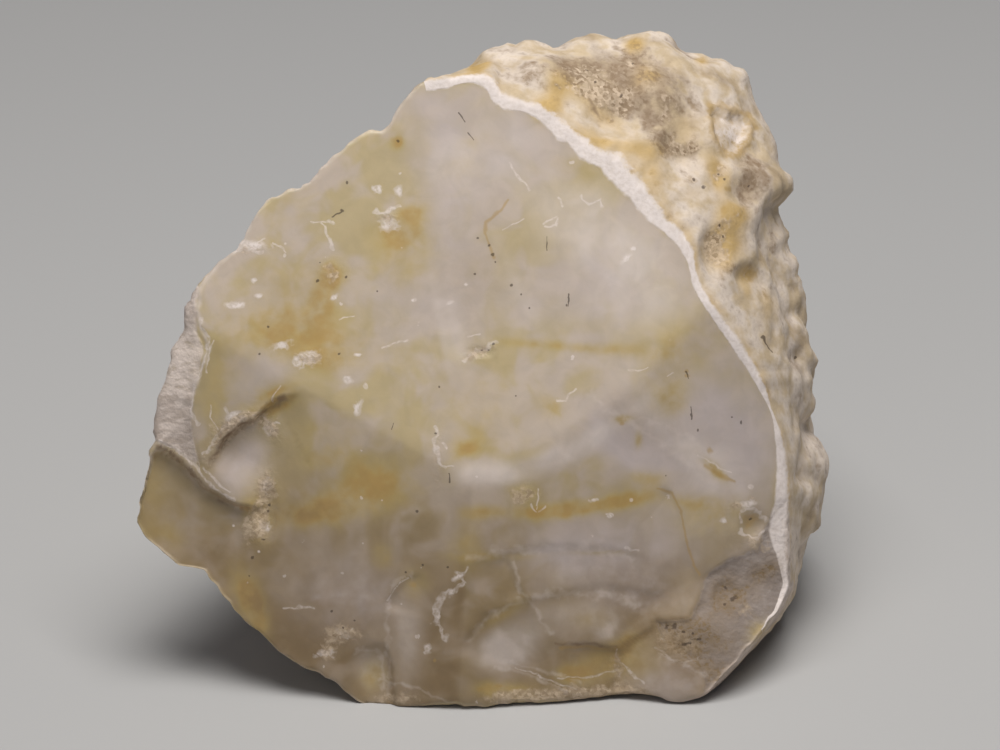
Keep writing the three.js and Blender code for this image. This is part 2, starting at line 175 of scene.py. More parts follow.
# Where the edge of the broken face lies inside the outline, apart from along the band.
lowerRightEdge = [
    (33.7, 20.5), (33.8, 15.5), (34, 13.5), (33.1, 11.4), (29.2, 7), (26.6, 4), (24.2, 1.6), (21.5, 0.9),
]
leftEdge = [
    (-28.4, 49), (-30.6, 46.1), (-30.4, 41.9), (-29.4, 39.7), (-31.3, 34.6), (-32.4, 30.8), (-35.9, 28.2),
]

# Round the stone: angle in degrees, how deep behind the face the stone is widest there, and how many
# millimetres it then narrows for each millimetre of depth.
sideShape = [
    (-65, 0, 0), (-58, 4, 0), (-50, 8, 0), (-35, 11, 0), (0, 13, 0), (50, 17, 0), (70, 13, 0.05),
    (90, 8, 0.1), (99, 1, 0.2), (110, 0, 0.35), (160, 0.3, 0.4), (170, 1.5, 0.4), (186, 1, 0.4),
    (200, 0, 0.5), (230, 0, 0.55), (250, 0, 0.3), (270, 0, 0), (295, 0, 0),
]

# The three fractures of the face meet at one low peak: depth gained per millimetre to the right and
# up, and what the slope to the right gains for each millimetre.
peak = (-0.5, 25.3)
fractures = [(0, 0.12, 0), (-0.13, -0.115, 0), (0.085, -0.13, 0.004)]
fractureBorder = (-0.02, 0.14)  # how far one is in front of the others where its shade sets in
heel = (28, 3, 14, 12, 4)  # the lower right corner stands forward: u, v, half width, half height, mm

# Shell-like fractures that cut the rounded back: direction from the heart, distance, radius.
backFractures = [
    ((-0.62, 0.36, 0.7), 20, 55),
    ((-0.52, -0.26, 0.81), 22.5, 45),
    ((0.38, 0.16, 0.91), 23, 90),
]

# Steps of the face. Walking along the line, the face drops on the right-hand side and comes back
# within the reach: line, drop, reach, width of the step.
ledges = [
    ([(-41, 31.5), (-35.8, 29.3), (-32.8, 27.4), (-30.1, 24.6), (-26.5, 22.6), (-23, 22.2)], 1.2, 9, 1),
    ([(-30, 26), (-28, 29.8), (-25.9, 31.6), (-24.7, 31.9), (-22.4, 34.1), (-19, 35)], 1.0, 5, 1),
    ([(7.5, 7.1), (11.5, 7.4), (14.9, 6.9), (16.8, 8), (18.2, 8.7), (20, 11)], 0.5, 4, 1.8),
    ([(-10.5, 8), (-9.6, 4.9), (-9.5, 3.3), (-9.1, -1)], 0.8, 3.5, 1),
    ([(-2.6, 5.5), (-1.8, 7.9), (0.6, 10.7), (4.7, 12.3), (7, 12.4)], 0.3, 6, 2),
    ([(-2, 16), (0.2, 16.8), (4.4, 17.9), (8.7, 18.3), (14.2, 18), (20, 16.6)], 0.18, 5, 2),
    ([(5, 12), (7.1, 12.7), (13.1, 14), (18.6, 13.1), (21, 12)], 0.18, 4, 2),
    ([(2.7, 17.5), (3.5, 15.9), (4.1, 14.4), (5, 12.4)], 0.2, 2, 1.5),
    ([(-10.4, 11), (-10.1, 12.2), (-9.1, 13.6), (-7.9, 14.8), (-6, 15.4)], 0.3, 3, 1.5),
    ([(19.2, 25), (21, 23.9), (22, 21.9), (22.4, 19.9), (23.5, 15.9), (24.1, 14)], 0.3, 3, 1.5),
    ([(13.8, 2), (14.9, 3.8), (15.2, 5.3), (14.9, 7)], 0.3, 2.5, 2),
]
stepRise = (-0.2, 0.35)  # mm on either side of the line within which a step falls
stepFade = 0.2  # share of the line over which a step runs out at each end

# Hollows of the face and the rind: u, v, half width, half height, depth; a swelling is negative.
faceHollows = [
    (-24.5, 27, 5.5, 5, 0.5), (-23.4, 22, 1.6, 4, 0.7), (-12.2, 3.9, 2, 4.4, 0.5), (5, 5.5, 6, 6, 0.5),
    (29.9, 20.4, 1.7, 1.7, 0.55), (24, 5.5, 4, 4, 0.6), (0, 39.3, 2, 0.8, 0.2), (27.2, 12.6, 2, 2, 0.5),
]
rindHollows = [
    (25.7, 50.8, 2, 3.8, 1), (29.3, 57.3, 2.4, 2.4, 0.9), (32.6, 58.2, 2.4, 2.2, -0.6),
    (29.5, 47.8, 2, 1.7, 0.9), (15.5, 65, 5, 3, 0.9), (20.5, 69.5, 4, 5, -1.2), (22, 61, 3, 4, 0.8),
    (7, 70, 4, 2.4, -0.8), (35.4, 38.8, 1.4, 1.4, 0.7), (30.3, 61.2, 2, 1.8, 0.5),
]

# Creases of the rind: line, half width, depth.
rindCreases = [
    ([(32.6, 55.3), (32.5, 51.7), (33.2, 49.5), (33.7, 47.9), (34.5, 46), (35.2, 43.8)], 1.1, 1.0),
    ([(36.9, 31.3), (36.8, 29.6), (36.4, 27.8), (36.1, 25.7)], 0.9, 1.0),
    ([(11.5, 67.7), (12.3, 66.5), (13.6, 64.6)], 0.4, 0.35),
]
ringedPit = [
    (25.5, 65.5), (25.8, 66.7), (27, 67), (27.8, 66.3), (28.7, 66.4), (29.5, 66.1), (30.4, 65.3),
    (30.5, 64.4), (30, 63.1), (29, 61.7), (27.8, 61.1), (26.8, 61.7), (25.9, 63.1), (25.5, 65.5),
]
pitForm = {"depth": 0.7, "wall": 0.5, "lip": 0.2, "lipWidth": 0.3}

# The chalky patches of the face, how far each lies below the opal, and where its rim starts and ends.
leftPatch = [
    (-30.6, 46.5), (-31, 41.7), (-29.9, 40.1), (-30.5, 36.8), (-31.3, 34.1), (-31.4, 31), (-30.9, 28.6),
    (-30.2, 26.2), (-31.6, 27.3), (-33.8, 28.9), (-36, 29.7), (-39, 29.5), (-39, 36.3), (-36, 42.8),
    (-32.8, 47.8),
]
lowerPatch = [
    (32.4, 22.8), (30.4, 17.8), (27.2, 16.5), (24.8, 15.1), (23.9, 12), (22.9, 10.2), (19, 10),
    (19.7, 8.3), (21.8, 6), (23.9, 4.9), (24.5, 3), (24.2, -2), (30, -1), (41, 8), (40, 12.5), (34.6, 14),
    (34, 23),
]
patchDrops = [(leftPatch, 0.22, (-0.15, 0.3)), (lowerPatch, 0.3, (-0.2, 0.6))]

# The underside has flat feet (x, distance back, radius) and hollows between them.
feet = [(-8, 6, 7), (23, 10, 7), (6, 38, 12)]
footRim = (0.6, 1.6)  # shares of the radius between which a foot rises into the hollow
undersideHollow = 2.2
hollowStart, hollowFull = 4, 10  # distance back


def smooth(value, low, high):
    share = np.clip((value - low) / (high - low), 0, 1)
    return share * share * (3 - 2 * share)


def roundedMax(a, b, rounding):
    overlap = np.maximum(rounding - np.abs(a - b), 0) / rounding
    return np.maximum(a, b) + overlap ** 2 * rounding * 0.25


def aboutMiddle(u, v):
    across, up = u - faceMiddle[0], v - faceMiddle[1]
    return np.degrees(np.arctan2(up, across)), np.hypot(across, up)


# Degrees from one angle to another, the short way round.
def turnFrom(angle, middle):
    return np.abs((angle - middle + 540) % 360 - 180)


spokeAngles = np.arange(360 * spokesPerDegree) / spokesPerDegree - 180


def radiiOf(outline):
    angles, radii = aboutMiddle(*np.array(outline, dtype=float).T)
    return np.interp(spokeAngles, angles, radii, period=360)


def edgeRadii():
    radii = radiiOf(silhouette)
    for stretch in (bandOuter, lowerRightEdge, leftEdge):
        angles, stretchRadii = aboutMiddle(*np.array(stretch, dtype=float).T)
        angles = np.unwrap(angles, period=360)
        first = angles.min()
        turned = (spokeAngles - first) % 360 + first
        order = np.argsort(angles)
        within = turned <= angles.max()
        radii[within] = np.interp(turned[within], angles[order], stretchRadii[order])
    return radii


# The mean over the nearest spokes.
def softened(radii, reach):
    return sum(np.roll(radii, step) for step in range(-reach, reach + 1)) / (2 * reach + 1)


def makeSpokes():
    angles, widestDepths, tapers = np.array(sideShape, dtype=float).T
    random = np.random.default_rng(stoneForm["nickSeed"])
    nickAngles = np.arange(-180, 180, stoneForm["nickSpacing"])
    nicks = random.normal(0, stoneForm["nickDepth"], len(nickAngles))
    nicks = np.interp(spokeAngles, nickAngles, nicks, period=360)
    widest = radiiOf(silhouette) + nicks
    columns = [softened(radii, stoneForm["spokeSoftening"]) for radii in (edgeRadii() + nicks, widest)]
    columns += [softened(widest, stoneForm["swellSoftening"]), radiiOf(plainOutline)]
    columns += [np.interp(spokeAngles, angles, column, period=360) for column in (widestDepths, tapers)]
    return np.stack(columns, axis=1)


spokes = makeSpokes()  # edge, widest, evened and plain radius, widest depth and taper at each angle


def sideRadius(angle, depth):
    place = (angle + 180) * spokesPerDegree
    first = np.floor(place).astype(int)
    share = (place - first)[:, None]
    between = spokes[first % len(spokes)] * (1 - share) + spokes[(first + 1) % len(spokes)] * share
    edge, widest, evened, plain, widestDepth, taper = between.T
    turned = 1 - np.clip(depth / np.maximum(widestDepth, 0.01), 0, 1)
    swelling = edge + (evened - edge) * (1 - turned ** stoneForm["rindSwell"])
    swelling += (widest - evened) * smooth(turned, stoneForm["widestFrom"], 0)
    behind = np.maximum(depth - widestDepth, 0)
    back = np.minimum(behind / (stoneForm["depth"] - widestDepth), 1)
    outline = widest + (plain - widest) * np.minimum(behind / stoneForm["smoothBehind"], 1)
    fullness = stoneForm["backFullness"]
    narrowing = (outline - taper * behind) * (1 - back ** fullness) ** (1 / fullness)
    return np.where(depth < widestDepth, swelling, narrowing)


def hollow(u, v, middleU, middleV, wide, high, depth):
    inside = np.maximum(1 - ((u - middleU) / wide) ** 2 - ((v - middleV) / high) ** 2, 0)
    return depth * inside ** 1.5


def fractureDepths(u, v):
    across, up = u - peak[0], v - peak[1]
    bend = np.maximum(across, 0)
    return [right * across + rise * up + gain * across * bend for right, rise, gain in fractures]


def fractureDepth(u, v):
    upper, left, right = fractureDepths(u, v)
    rounding = stoneForm["faceRounding"]
    return roundedMax(roundedMax(upper, left, rounding), right, rounding) - hollow(u, v, *heel)


# 1 on the lower left fracture of the face, 0 on the others.
def lowerLeftShare(u, v):
    upper, left, right = fractureDepths(u, v)
    return smooth(left - np.maximum(upper, right), *fractureBorder)


def undersideAt(x, y):
    height = undersideHollow * smooth(y, hollowStart, hollowFull)
    for footX, footY, radius in feet:
        height = height * smooth(np.hypot(x - footX, y - footY) / radius, *footRim)
    return height


def faceAndSide(points):
    u, v, w = points.T
    angle, radius = aboutMiddle(u, v)
    depth = w - fractureDepth(u, v)
    return -depth, stoneForm["sideSlope"] * (radius - sideRadius(angle, depth))


# Below zero inside the stone, above zero outside it. The small relief comes later.
def outside(points):
    face, side = faceAndSide(points)
    result = roundedMax(face, side, stoneForm["edgeRounding"])
    for direction, distance, radius in backFractures:
        middle = heart + np.array(direction) * (distance + radius)
        cut = radius - np.linalg.norm(points - middle, axis=1)
        result = roundedMax(result, cut, stoneForm["backRounding"])
    u, v, w = points.T
    height, distanceBack = heightAndBack(v, w)
    return roundedMax(result, undersideAt(u, distanceBack) - height, stoneForm["edgeRounding"])


def ontoSurface(points, rounds=15):
    toward = points - heart
    toward = toward / np.linalg.norm(toward, axis=1)[:, None]
    near, far = (np.full(len(points), reach) for reach in surfaceReach)
    for _ in range(rounds):
        middle = (near + far) / 2
        within = outside(heart + toward * middle[:, None]) < 0
        near = np.where(within, middle, near)
        far = np.where(within, far, middle)
    return heart + toward * near[:, None]


# A closed ball of triangles: the six sides of a cube, blown up to a sphere.
def ballOfTriangles(steps):
    across, up = np.meshgrid(*[np.tan(np.linspace(-np.pi / 4, np.pi / 4, steps + 1))] * 2, indexing="ij")
    side = np.stack((across, up, np.ones(across.shape)), axis=-1).reshape(-1, 3)
    sides = [np.roll(side, turn, axis=1) * sign for turn in range(3) for sign in (1, -1)]
    points = np.concatenate(sides)
    points, merged = np.unique(np.round(points, 6), axis=0, return_inverse=True)
    corner = np.arange((steps + 1) ** 2).reshape(steps + 1, steps + 1)
    a, b, c, d = corner[:-1, :-1], corner[1:, :-1], corner[1:, 1:], corner[:-1, 1:]
    halves = np.concatenate([np.stack(half, axis=-1).reshape(-1, 3) for half in ((a, b, c), (a, c, d))])
    turned = [halves[:, ::1 if i % 2 == 0 else -1] + i * len(side) for i in range(len(sides))]
    return points / np.linalg.norm(points, axis=1)[:, None], merged.ravel()[np.concatenate(turned)]


# The ball is drawn over the stone, with frontShare of its triangles on the broken face.
def drawnOver(ball):
    share = (1 + ball[:, 2]) / 2
    angle = np.arctan2(ball[:, 1], ball[:, 0])
    place = (np.degrees(angle) + 180) * spokesPerDegree
    edge = spokes[np.floor(place).astype(int) % len(spokes), 0]
    held = np.minimum(share / stoneForm["frontShare"], 1)
    radius = edge * np.sqrt(held)
    u = faceMiddle[0] + radius * np.cos(angle)
    v = faceMiddle[1] + radius * np.sin(angle)
    w = fractureDepth(u, v)
    toward = np.stack((u, v, w), axis=1) - heart
    toward /= np.linalg.norm(toward, axis=1)[:, None]
    behind = np.maximum(share - stoneForm["frontShare"], 0) / (1 - stoneForm["frontShare"])
    deeper = toward[:, 2] + (1 - toward[:, 2]) * behind ** stoneForm["backThinning"]
    flat = np.sqrt(np.maximum(1 - deeper ** 2, 0)) / np.maximum(np.hypot(toward[:, 0], toward[:, 1]), 1e-9)
    turned = np.stack((toward[:, 0] * flat, toward[:, 1] * flat, deeper), axis=1)
    return np.where(behind[:, None] > 0, turned, toward)


# Each point moves to the mean of its neighbours and back onto the stone, so that triangles even out.
def settle(points, triangles, rounds):
    starts, ends = triangles.ravel(), triangles[:, [1, 2, 0]].ravel()
    count = np.bincount(starts)
    for _ in range(rounds):
        means = [np.bincount(starts, column[ends]) / count for column in points.T]
        points = ontoSurface(np.stack(means, axis=1))
    return points


def smoothStone():
    ball, triangles = ballOfTriangles(stoneForm["gridSteps"])
    points = ontoSurface(heart + drawnOver(ball))
    return settle(points, triangles, stoneForm["settleRounds"]), triangles


# Nearest distance to a line of points, the side of it (1 on the right-hand side, walking along it),
# and how far along the line that is, from 0 to 1.
def nearestOnLine(u, v, line):
    nearest = np.full(u.shape, np.inf)
    side = np.zeros(u.shape)
    along = np.zeros(u.shape)
    for i, ((startU, startV), (endU, endV)) in enumerate(zip(line, line[1:])):
        stepU, stepV = endU - startU, endV - startV
        share = ((u - startU) * stepU + (v - startV) * stepV) / (stepU ** 2 + stepV ** 2)
        held = np.clip(share, 0, 1)
        gapU, gapV = u - startU - held * stepU, v - startV - held * stepV
        gap = np.hypot(gapU, gapV)
        closer = gap < nearest
        nearest[closer] = gap[closer]
        side[closer] = np.sign(gapU * stepV - gapV * stepU)[closer]
        along[closer] = ((i + held) / (len(line) - 1))[closer]
    return nearest, side, along


# Distance to the edge of a closed outline, above zero inside it.
def insideOutline(u, v, outline):
    closed = list(outline) + [outline[0]]
    crossings = np.zeros(u.shape, dtype=int)
    for (startU, startV), (endU, endV) in zip(closed, closed[1:]):
        if startV == endV:
            continue
        spans = (startV > v) != (endV > v)
        crossings += spans & (u < startU + (v - startV) * (endU - startU) / (endV - startV))
    return nearestOnLine(u, v, closed)[0] * np.where(crossings % 2 == 1, 1, -1)


def faceRelief(u, v):
    relief = np.zeros(u.shape)
    for line, drop, reach, width in ledges:
        nearest, side, along = nearestOnLine(u, v, line)
        ends = smooth(np.minimum(along, 1 - along), 0, stepFade)
        relief += drop * ends * smooth(side * nearest / width, *stepRise) * np.exp(-((nearest / reach) ** 2))
    for row in faceHollows:
        relief += hollow(u, v, *row)
    for outline, drop, rim in patchDrops:
        relief += drop * smooth(insideOutline(u, v, outline), *rim)
    return relief


def rindRelief(u, v):
    relief = np.zeros(u.shape)
    for row in rindHollows:
        relief += hollow(u, v, *row)
    for line, wide, depth in rindCreases:
        relief += depth * np.exp(-((nearestOnLine(u, v, line)[0] / wide) ** 2))
    pit = insideOutline(u, v, ringedPit[:-1])  # its last point is the first again
    lip = pitForm["lip"] * np.exp(-((pit / pitForm["lipWidth"]) ** 2))
    return relief + pitForm["depth"] * smooth(pit, 0, pitForm["wall"]) - lip


# A number from 0 to 1 that hangs on the whole numbers alone, by shifting and multiplying their bits.
def mixedNumber(x, y, z, salt):
    mixed = (x * 73856093) ^ (y * 19349663) ^ (z * 83492791) ^ salt
    mixed &= 0xFFFFFFFF
    mixed = ((mixed ^ (mixed >> 15)) * 2246822519) & 0xFFFFFFFF
    mixed = ((mixed ^ (mixed >> 13)) * 3266489917) & 0xFFFFFFFF
    return (mixed ^ (mixed >> 16)) / 2 ** 32


# 1 on top of each knob of the rind and 0 in the creases between them.
def knobs(points):
    bend = stoneForm["knobBend"] * np.sin(points[:, (1, 2, 0)] / stoneForm["knobWander"])
    places = points / stoneForm["knobSpacing"] + bend
    cells = np.floor(places).astype(np.int64)
    nearest = np.full(len(points), 4.0)
    for step in np.ndindex(3, 3, 3):
        cell = (cells + np.array(step) - 1).T
        middles = [cell[i] + mixedNumber(*cell, salt) for i, salt in enumerate((11, 23, 37))]
        nearest = np.minimum(nearest, sum((middle - place) ** 2 for middle, place in zip(middles, places.T)))
    return 1 - np.minimum(nearest, 1)


rindCover = {
    "depths": (0.8, 6.5),  # behind the face, over which the rind sets in
    "middle": 38,  # degrees round the stone, at the top right
    "border": (62, 105),  # degrees from there over which the rind gives way to broken opal
    "wanderDepths": (6, 12),  # the border wanders behind these depths
    "brokenEnds": (0.1, 0.5),  # shares of rind between which broken opal gives way to it
}


# 1 round the top, the right and the back, where the rind lies, 0 on the left, with a wandering border.
def rindAround(points):
    u, v, w = points.T
    wander = 5 * np.sin(w / 4.3 + u / 9) + 3 * np.sin(w / 1.7 - v / 2.9) + 1.5 * np.sin(w / 0.9 + u / 1.3)
    wander = wander * smooth(w, *rindCover["wanderDepths"])
    return 1 - smooth(turnFrom(aboutMiddle(u, v)[0], rindCover["middle"]) + wander, *rindCover["border"])


def pointNormals(points, triangles):
    a, b, c = (points[triangles[:, i]] for i in range(3))
    across = np.cross(b - a, c - a)
    columns = [sum(np.bincount(triangles[:, i], part, len(points)) for i in range(3)) for part in across.T]
    normals = np.stack(columns, axis=1)
    normals /= np.linalg.norm(normals, axis=1)[:, None]
    return normals * np.sign(np.sum(normals * (points - heart)))

# Soft stains, with painted shade among the smoke zones: u, v, half width, half height, turn in degrees,
# strength.
ochreZones = [
    (-8.5, 50, 2.8, 3, -30, 0.4), (-2, 48, 4, 3, 0, 0.18), (18.5, 35, 4, 4, 0, 0.12),
    (25, 41.7, 3, 5, 0, 0.1), (-24.7, 11.5, 0.9, 2.6, 18, 0.5), (-27, 41.7, 2.5, 3, 0, 0.2),
    (-27, 32, 2, 5, 0, 0.12), (25, 26, 5, 7, 0, 0.1), (-20, 41, 9, 7, 0, 0.13),
    (-14, 30, 8, 4, -15, 0.14), (-14, 16, 9, 4, 0, 0.1), (0, 38, 6, 4, 0, 0.1),
    (-9, 25.5, 4, 2, 10, 0.16), (21, 11, 2, 6, -20, 0.12), (-22.5, 34, 2.2, 1, 35, 0.8),
    (-29.4, 34.5, 1.3, 4, -8, 0.15), (28.3, 64, 2.8, 3, 0, 0.35), (-7.9, 53.5, 1.4, 2.2, -30, 0.9),
    (-10.3, 52.4, 2.2, 1.1, 0, 0.35), (-16.2, 47.7, 1.3, 1.5, 0, 0.8), (-17.2, 44.6, 1.3, 1.5, 0, 0.6),
    (-23.4, 51.5, 1.1, 0.7, 0, 0.3), (-20.9, 44.4, 4.2, 4.4, 0, 0.3), (-21.2, 41.2, 3.3, 2.2, 0, 0.35),
    (-28.5, 35, 2, 3.9, 0, 0.12), (-14.7, 40.1, 4.6, 1.6, -20, 0.35), (-16.5, 38.2, 2, 1.5, 0, 0.45),
    (-23, 33.5, 2.2, 0.9, 20, 0.5), (7.1, 40.1, 5, 0.5, -4, 0.5), (14.7, 39.5, 3.7, 0.7, 0, 0.35),
    (0.6, 31.9, 3.3, 3.9, 0, 0.38), (7.8, 33.2, 1.5, 1.3, 0, 0.5), (20.5, 39.5, 2.8, 3.7, -40, 0.35),
    (20.9, 34.3, 1.5, 1.7, 0, 0.35), (0, 21.9, 2, 0.7, 0, 0.6), (5.5, 21.8, 2.6, 0.8, 0, 0.5),
    (10, 22.2, 3.3, 0.9, 6, 0.75), (15.7, 23.2, 3.1, 0.9, 8, 0.75), (18.1, 25.6, 2.4, 0.9, 0, 0.45),
    (23.2, 22.9, 2.2, 0.9, -10, 0.4), (-19, 21.6, 3.7, 1.3, 4, 0.6), (-14.1, 22.7, 3.9, 1.5, 8, 0.5),
    (-11.7, 25.4, 2.8, 1.5, 0, 0.4), (-16.1, 28, 2.6, 1.2, 0, 0.4), (-25.1, 11.8, 1.1, 2.8, 22, 0.6),
    (-10.6, 17.1, 1.1, 1.1, 0, 0.45), (-7, 14, 1.5, 1.5, -30, 0.4), (-1.6, 18.3, 1.9, 2.2, 0, 0.5),
    (-11.4, 4.2, 1.4, 2.4, 0, 0.3), (0.9, 2.6, 2.2, 0.8, 0, 0.5), (10.4, 3.9, 1.3, 0.9, 0, 0.65),
    (13.1, 5.2, 2.6, 1.6, 10, 0.5), (17.5, 5.5, 2.5, 1.8, -20, 0.35), (4, 2.2, 2, 0.8, 0, 0.4),
    (16.2, 7.8, 1.6, 0.9, 30, 0.65), (9.4, 4.2, 1.1, 0.7, 0, 0.5), (15.6, 32, 0.9, 0.4, 0, 0.8),
    (17.3, 30, 0.4, 1, 0, 0.55), (25.8, 26.3, 1.4, 0.5, -42, 0.75), (-1.6, 28.7, 1.3, 0.8, 20, 0.55),
    (4.9, 23.8, 1.5, 0.8, 0, 0.5), (27.9, 21.8, 2.4, 1.5, 0, 0.3), (12, 10, 2.4, 1.1, 0, 0.32),
    (2.7, 10.9, 2.6, 0.7, 32, 0.5), (2.2, 17, 3.9, 0.4, 0, 0.4), (13.1, 17.4, 3.5, 0.3, 0, 0.35),
    (-36, 24, 1.4, 2.7, 0, 0.3), (-33, 21, 5, 6, 0, 0.12), (-27, 13, 5, 4, 0, 0.15),
    (-14, 25, 8, 3, 0, 0.15), (-24.3, 22.5, 1.8, 3.4, 0, 0.35), (30.5, 8.5, 1.5, 1, 40, 0.5),
    (-11.8, 3.5, 1.5, 1.5, 0, 0.3), (-34.7, 19.3, 2.2, 1.5, -30, 0.4), (-1.9, 59.4, 2.6, 1.6, 0, 0.28),
    (10.7, 59.2, 2.6, 1.3, -20, 0.4), (-0.5, 62.4, 2.2, 1.3, 0, 0.25), (-9.1, 62.3, 0.7, 0.8, 0, 0.75),
    (-16.8, 30.8, 3.3, 1.1, 0, 0.2), (24.1, 20.9, 3.3, 1.7, 0, 0.25), (-0.2, 70.8, 1.4, 0.7, 28, 1),
    (6.7, 65.8, 1.4, 1.6, 0, 0.6), (8.4, 67.7, 1, 2, 0, 0.5), (12.4, 62.8, 3.1, 0.9, -25, 0.55),
    (17.7, 61.7, 2.2, 0.9, -10, 0.6), (19.1, 58.9, 1.3, 2.2, 25, 0.5), (17.3, 73.8, 1.1, 0.8, 0, 0.85),
    (24.8, 72.1, 0.9, 0.7, 0, 0.6), (25.7, 60.1, 0.9, 1.5, 0, 0.5), (26.8, 58.2, 1.1, 1.3, 0, 0.6),
    (28.2, 54.7, 1.6, 1.1, -20, 0.75), (26.5, 50.8, 1.7, 2.2, 0, 0.4), (29.8, 48, 0.8, 0.9, 0, 0.8),
    (29.5, 46, 0.5, 0.9, 0, 0.5), (32.8, 24.1, 0.7, 2.6, 0, 0.3), (23.3, 56.7, 1.5, 0.9, 0, 0.3),
    (19.9, 53.4, 0.7, 1.7, 35, 0.35), (13.5, 65.8, 3.2, 1.1, -28, 0.5), (18.4, 69.6, 1.8, 1.8, 0, 0.4),
    (22.4, 64, 1.8, 2.6, 10, 0.4), (27.3, 52, 1.6, 2.6, 0, 0.5), (31.8, 44.5, 1.2, 2, 0, 0.45),
    (10, 68.6, 2.5, 1, -15, 0.4),
]
# Smoke stains; the broad zones low on the face and over the lower right patch are painted shade where the
# face turns down.
smokeAndShadeZones = [
    (18, 9, 5.5, 4.5, 0, 0.5), (24, 6, 4, 3, -30, 0.35), (-20.7, 22.5, 3, 3, 0, 0.2),
    (-23.6, 11, 0.8, 2.6, 18, 0.35), (12, 69, 7, 2.5, -8, 0.3), (-1, 47.5, 4, 4, 0, 0.2),
    (-19, 47, 4, 4, 0, 0.1), (-19, 22, 4, 4, 0, 0.12), (12, 69.5, 4, 3, -30, 0.2), (21, 65, 3, 4, 0, 0.2),
    (29.5, 21.5, 2.2, 2.5, 0, 0.15), (-20, 10, 17, 10, 0, 0.2), (8, 6, 20, 8, 0, 0.25),
    (-35, 21, 4, 7, 0, 0.4), (-28.9, 17.6, 2.1, 1.6, 0, 0.75), (-15.8, 12.3, 6.8, 4.1, 0, 0.28),
    (-27.6, 28.4, 1.5, 2.4, -35, 0.3), (1.1, 19.4, 3.5, 3.1, 0, 0.3), (-19.6, 21.9, 3.3, 1.1, 0, 0.35),
    (-25.1, 12.3, 1.3, 2.4, 22, 0.4), (19.2, 13.3, 3.3, 3.3, 0, 0.25), (18.5, 30.8, 4.9, 2.2, -32, 0.3),
    (11.5, 5.1, 6.5, 2.2, 0, 0.28), (27.3, 12.6, 1.7, 1.7, -20, 1.15), (21.7, 9, 2.8, 0.9, -12, 1.1),
    (22.6, 7.2, 1.3, 0.7, 0, 1.1), (14, 15.5, 6, 3.5, 0, 0.28), (31.4, 15.2, 1.8, 1, 35, 0.9),
    (24, 4, 3, 2, -40, 0.45), (26, 9, 2, 1.2, -40, 0.3), (-6.5, 2.5, 6.5, 1.3, 0, 0.2),
    (0.5, 10, 4, 1, 30, 0.35), (11.6, 70.8, 2, 1.5, 0, 0.75), (13.3, 68.8, 3, 1.6, -20, 0.75),
    (15.7, 67.4, 2, 1.9, 0, 0.75), (16.7, 71.2, 1.8, 1.4, 0, 1), (17.8, 73.3, 1.1, 1.2, 0, 0.62),
    (20.8, 66.8, 2.2, 4.2, 0, 0.62), (19.5, 64.5, 1.1, 2, 0, 0.75), (22.6, 62, 2, 0.7, 0, 1),
    (30.6, 61.1, 1.9, 1.8, 0, 0.62), (29.7, 57.6, 1.2, 2, 0, 1), (29.3, 49, 2.2, 1.5, 0, 0.45),
    (8.8, 70.3, 3, 1.2, 0, 0.38), (26.1, 51.1, 0.9, 2.2, 0, 0.4), (22.1, 45.1, 0.9, 1.1, 0, 0.2),
    (33.1, 51.7, 0.4, 2.8, 0, 0.6), (32.5, 57.8, 1.5, 1.5, 0, 0.38), (31.5, 41.8, 1.1, 2.6, 0, 0.3),
]
mauveZones = [
    (2, 62, 8, 5, 0, 0.5), (21, 3.5, 4, 3, 0, 0.6), (28, 24, 6, 4, 0, 0.3),
    (-3.2, 51.5, 3.3, 8.9, 0, 0.5), (13.1, 46.9, 4.6, 5.5, 0, 0.5), (24.6, 30.8, 7.8, 5.7, 0, 0.75),
    (16.1, 29.5, 5, 2.6, -36, 0.6), (-26.1, 26.9, 2.4, 3.3, -20, 0.7), (-22.8, 37.8, 3.1, 2.6, 0, 0.6),
    (15.3, 17.5, 7.8, 3.9, 0, 0.55), (-14.1, 13.2, 6.8, 4.4, 0, 0.5), (-8.1, 44.4, 4.4, 3.3, 0, 0.3),
    (4.4, 45, 3.9, 3.9, 0, 0.35), (8.7, 18.3, 4.4, 2.2, 0, 0.4), (17.5, 12.2, 4.8, 2, 0, 0.35),
    (4.4, 5.7, 4.4, 2.2, 0, 0.3), (17.4, 38.4, 3.3, 1.5, 0, 0.2), (-6, 66.8, 3.3, 2.2, 0, 0.3),
]
milkZones = [
    (9, 55, 6, 4, -35, 0.35), (13, 52.5, 4, 5, -30, 0.25), (-7.6, 27, 3, 4, 0, 0.15),
    (19, 35.5, 4, 4, 0, 0.4), (-26, 35.5, 3, 1.8, 0, 0.35), (25, 24, 4.5, 6, 0, 0.35),
    (-2.5, 59.5, 3.5, 3, 20, 0.5), (4, 63, 4, 3, 0, 0.25), (18.5, 45, 5, 3.1, 0, 0.5),
    (0.8, 26.1, 2.8, 1.3, 0, 0.9), (8.7, 28.1, 3.7, 1.3, 22, 0.6), (14.4, 31.4, 3.5, 0.9, 32, 0.5),
    (-3.6, 18.9, 1.4, 6, -3, 0.22), (3.2, 7.2, 3.2, 2.1, 22, 0.8), (11.8, 10.4, 5, 1.6, -3, 0.4),
    (-7.9, 8, 2, 5.5, 0, 0.4), (-12, 4.6, 1.5, 2.2, 0, 0.6), (24, 28.1, 3.9, 1.4, -36, 0.5),
    (14, 8.7, 1, 0.9, 0, 0.6), (8.7, 15, 4.4, 1.7, 0, 0.3), (17.4, 50.4, 3.9, 2.6, 0, 0.35),
    (-2.7, 41.7, 1.3, 5, 15, 0.45), (5, 44.5, 0.9, 7, 24, 0.3), (-4.8, 45, 0.5, 9.8, 10, 0.25),
]
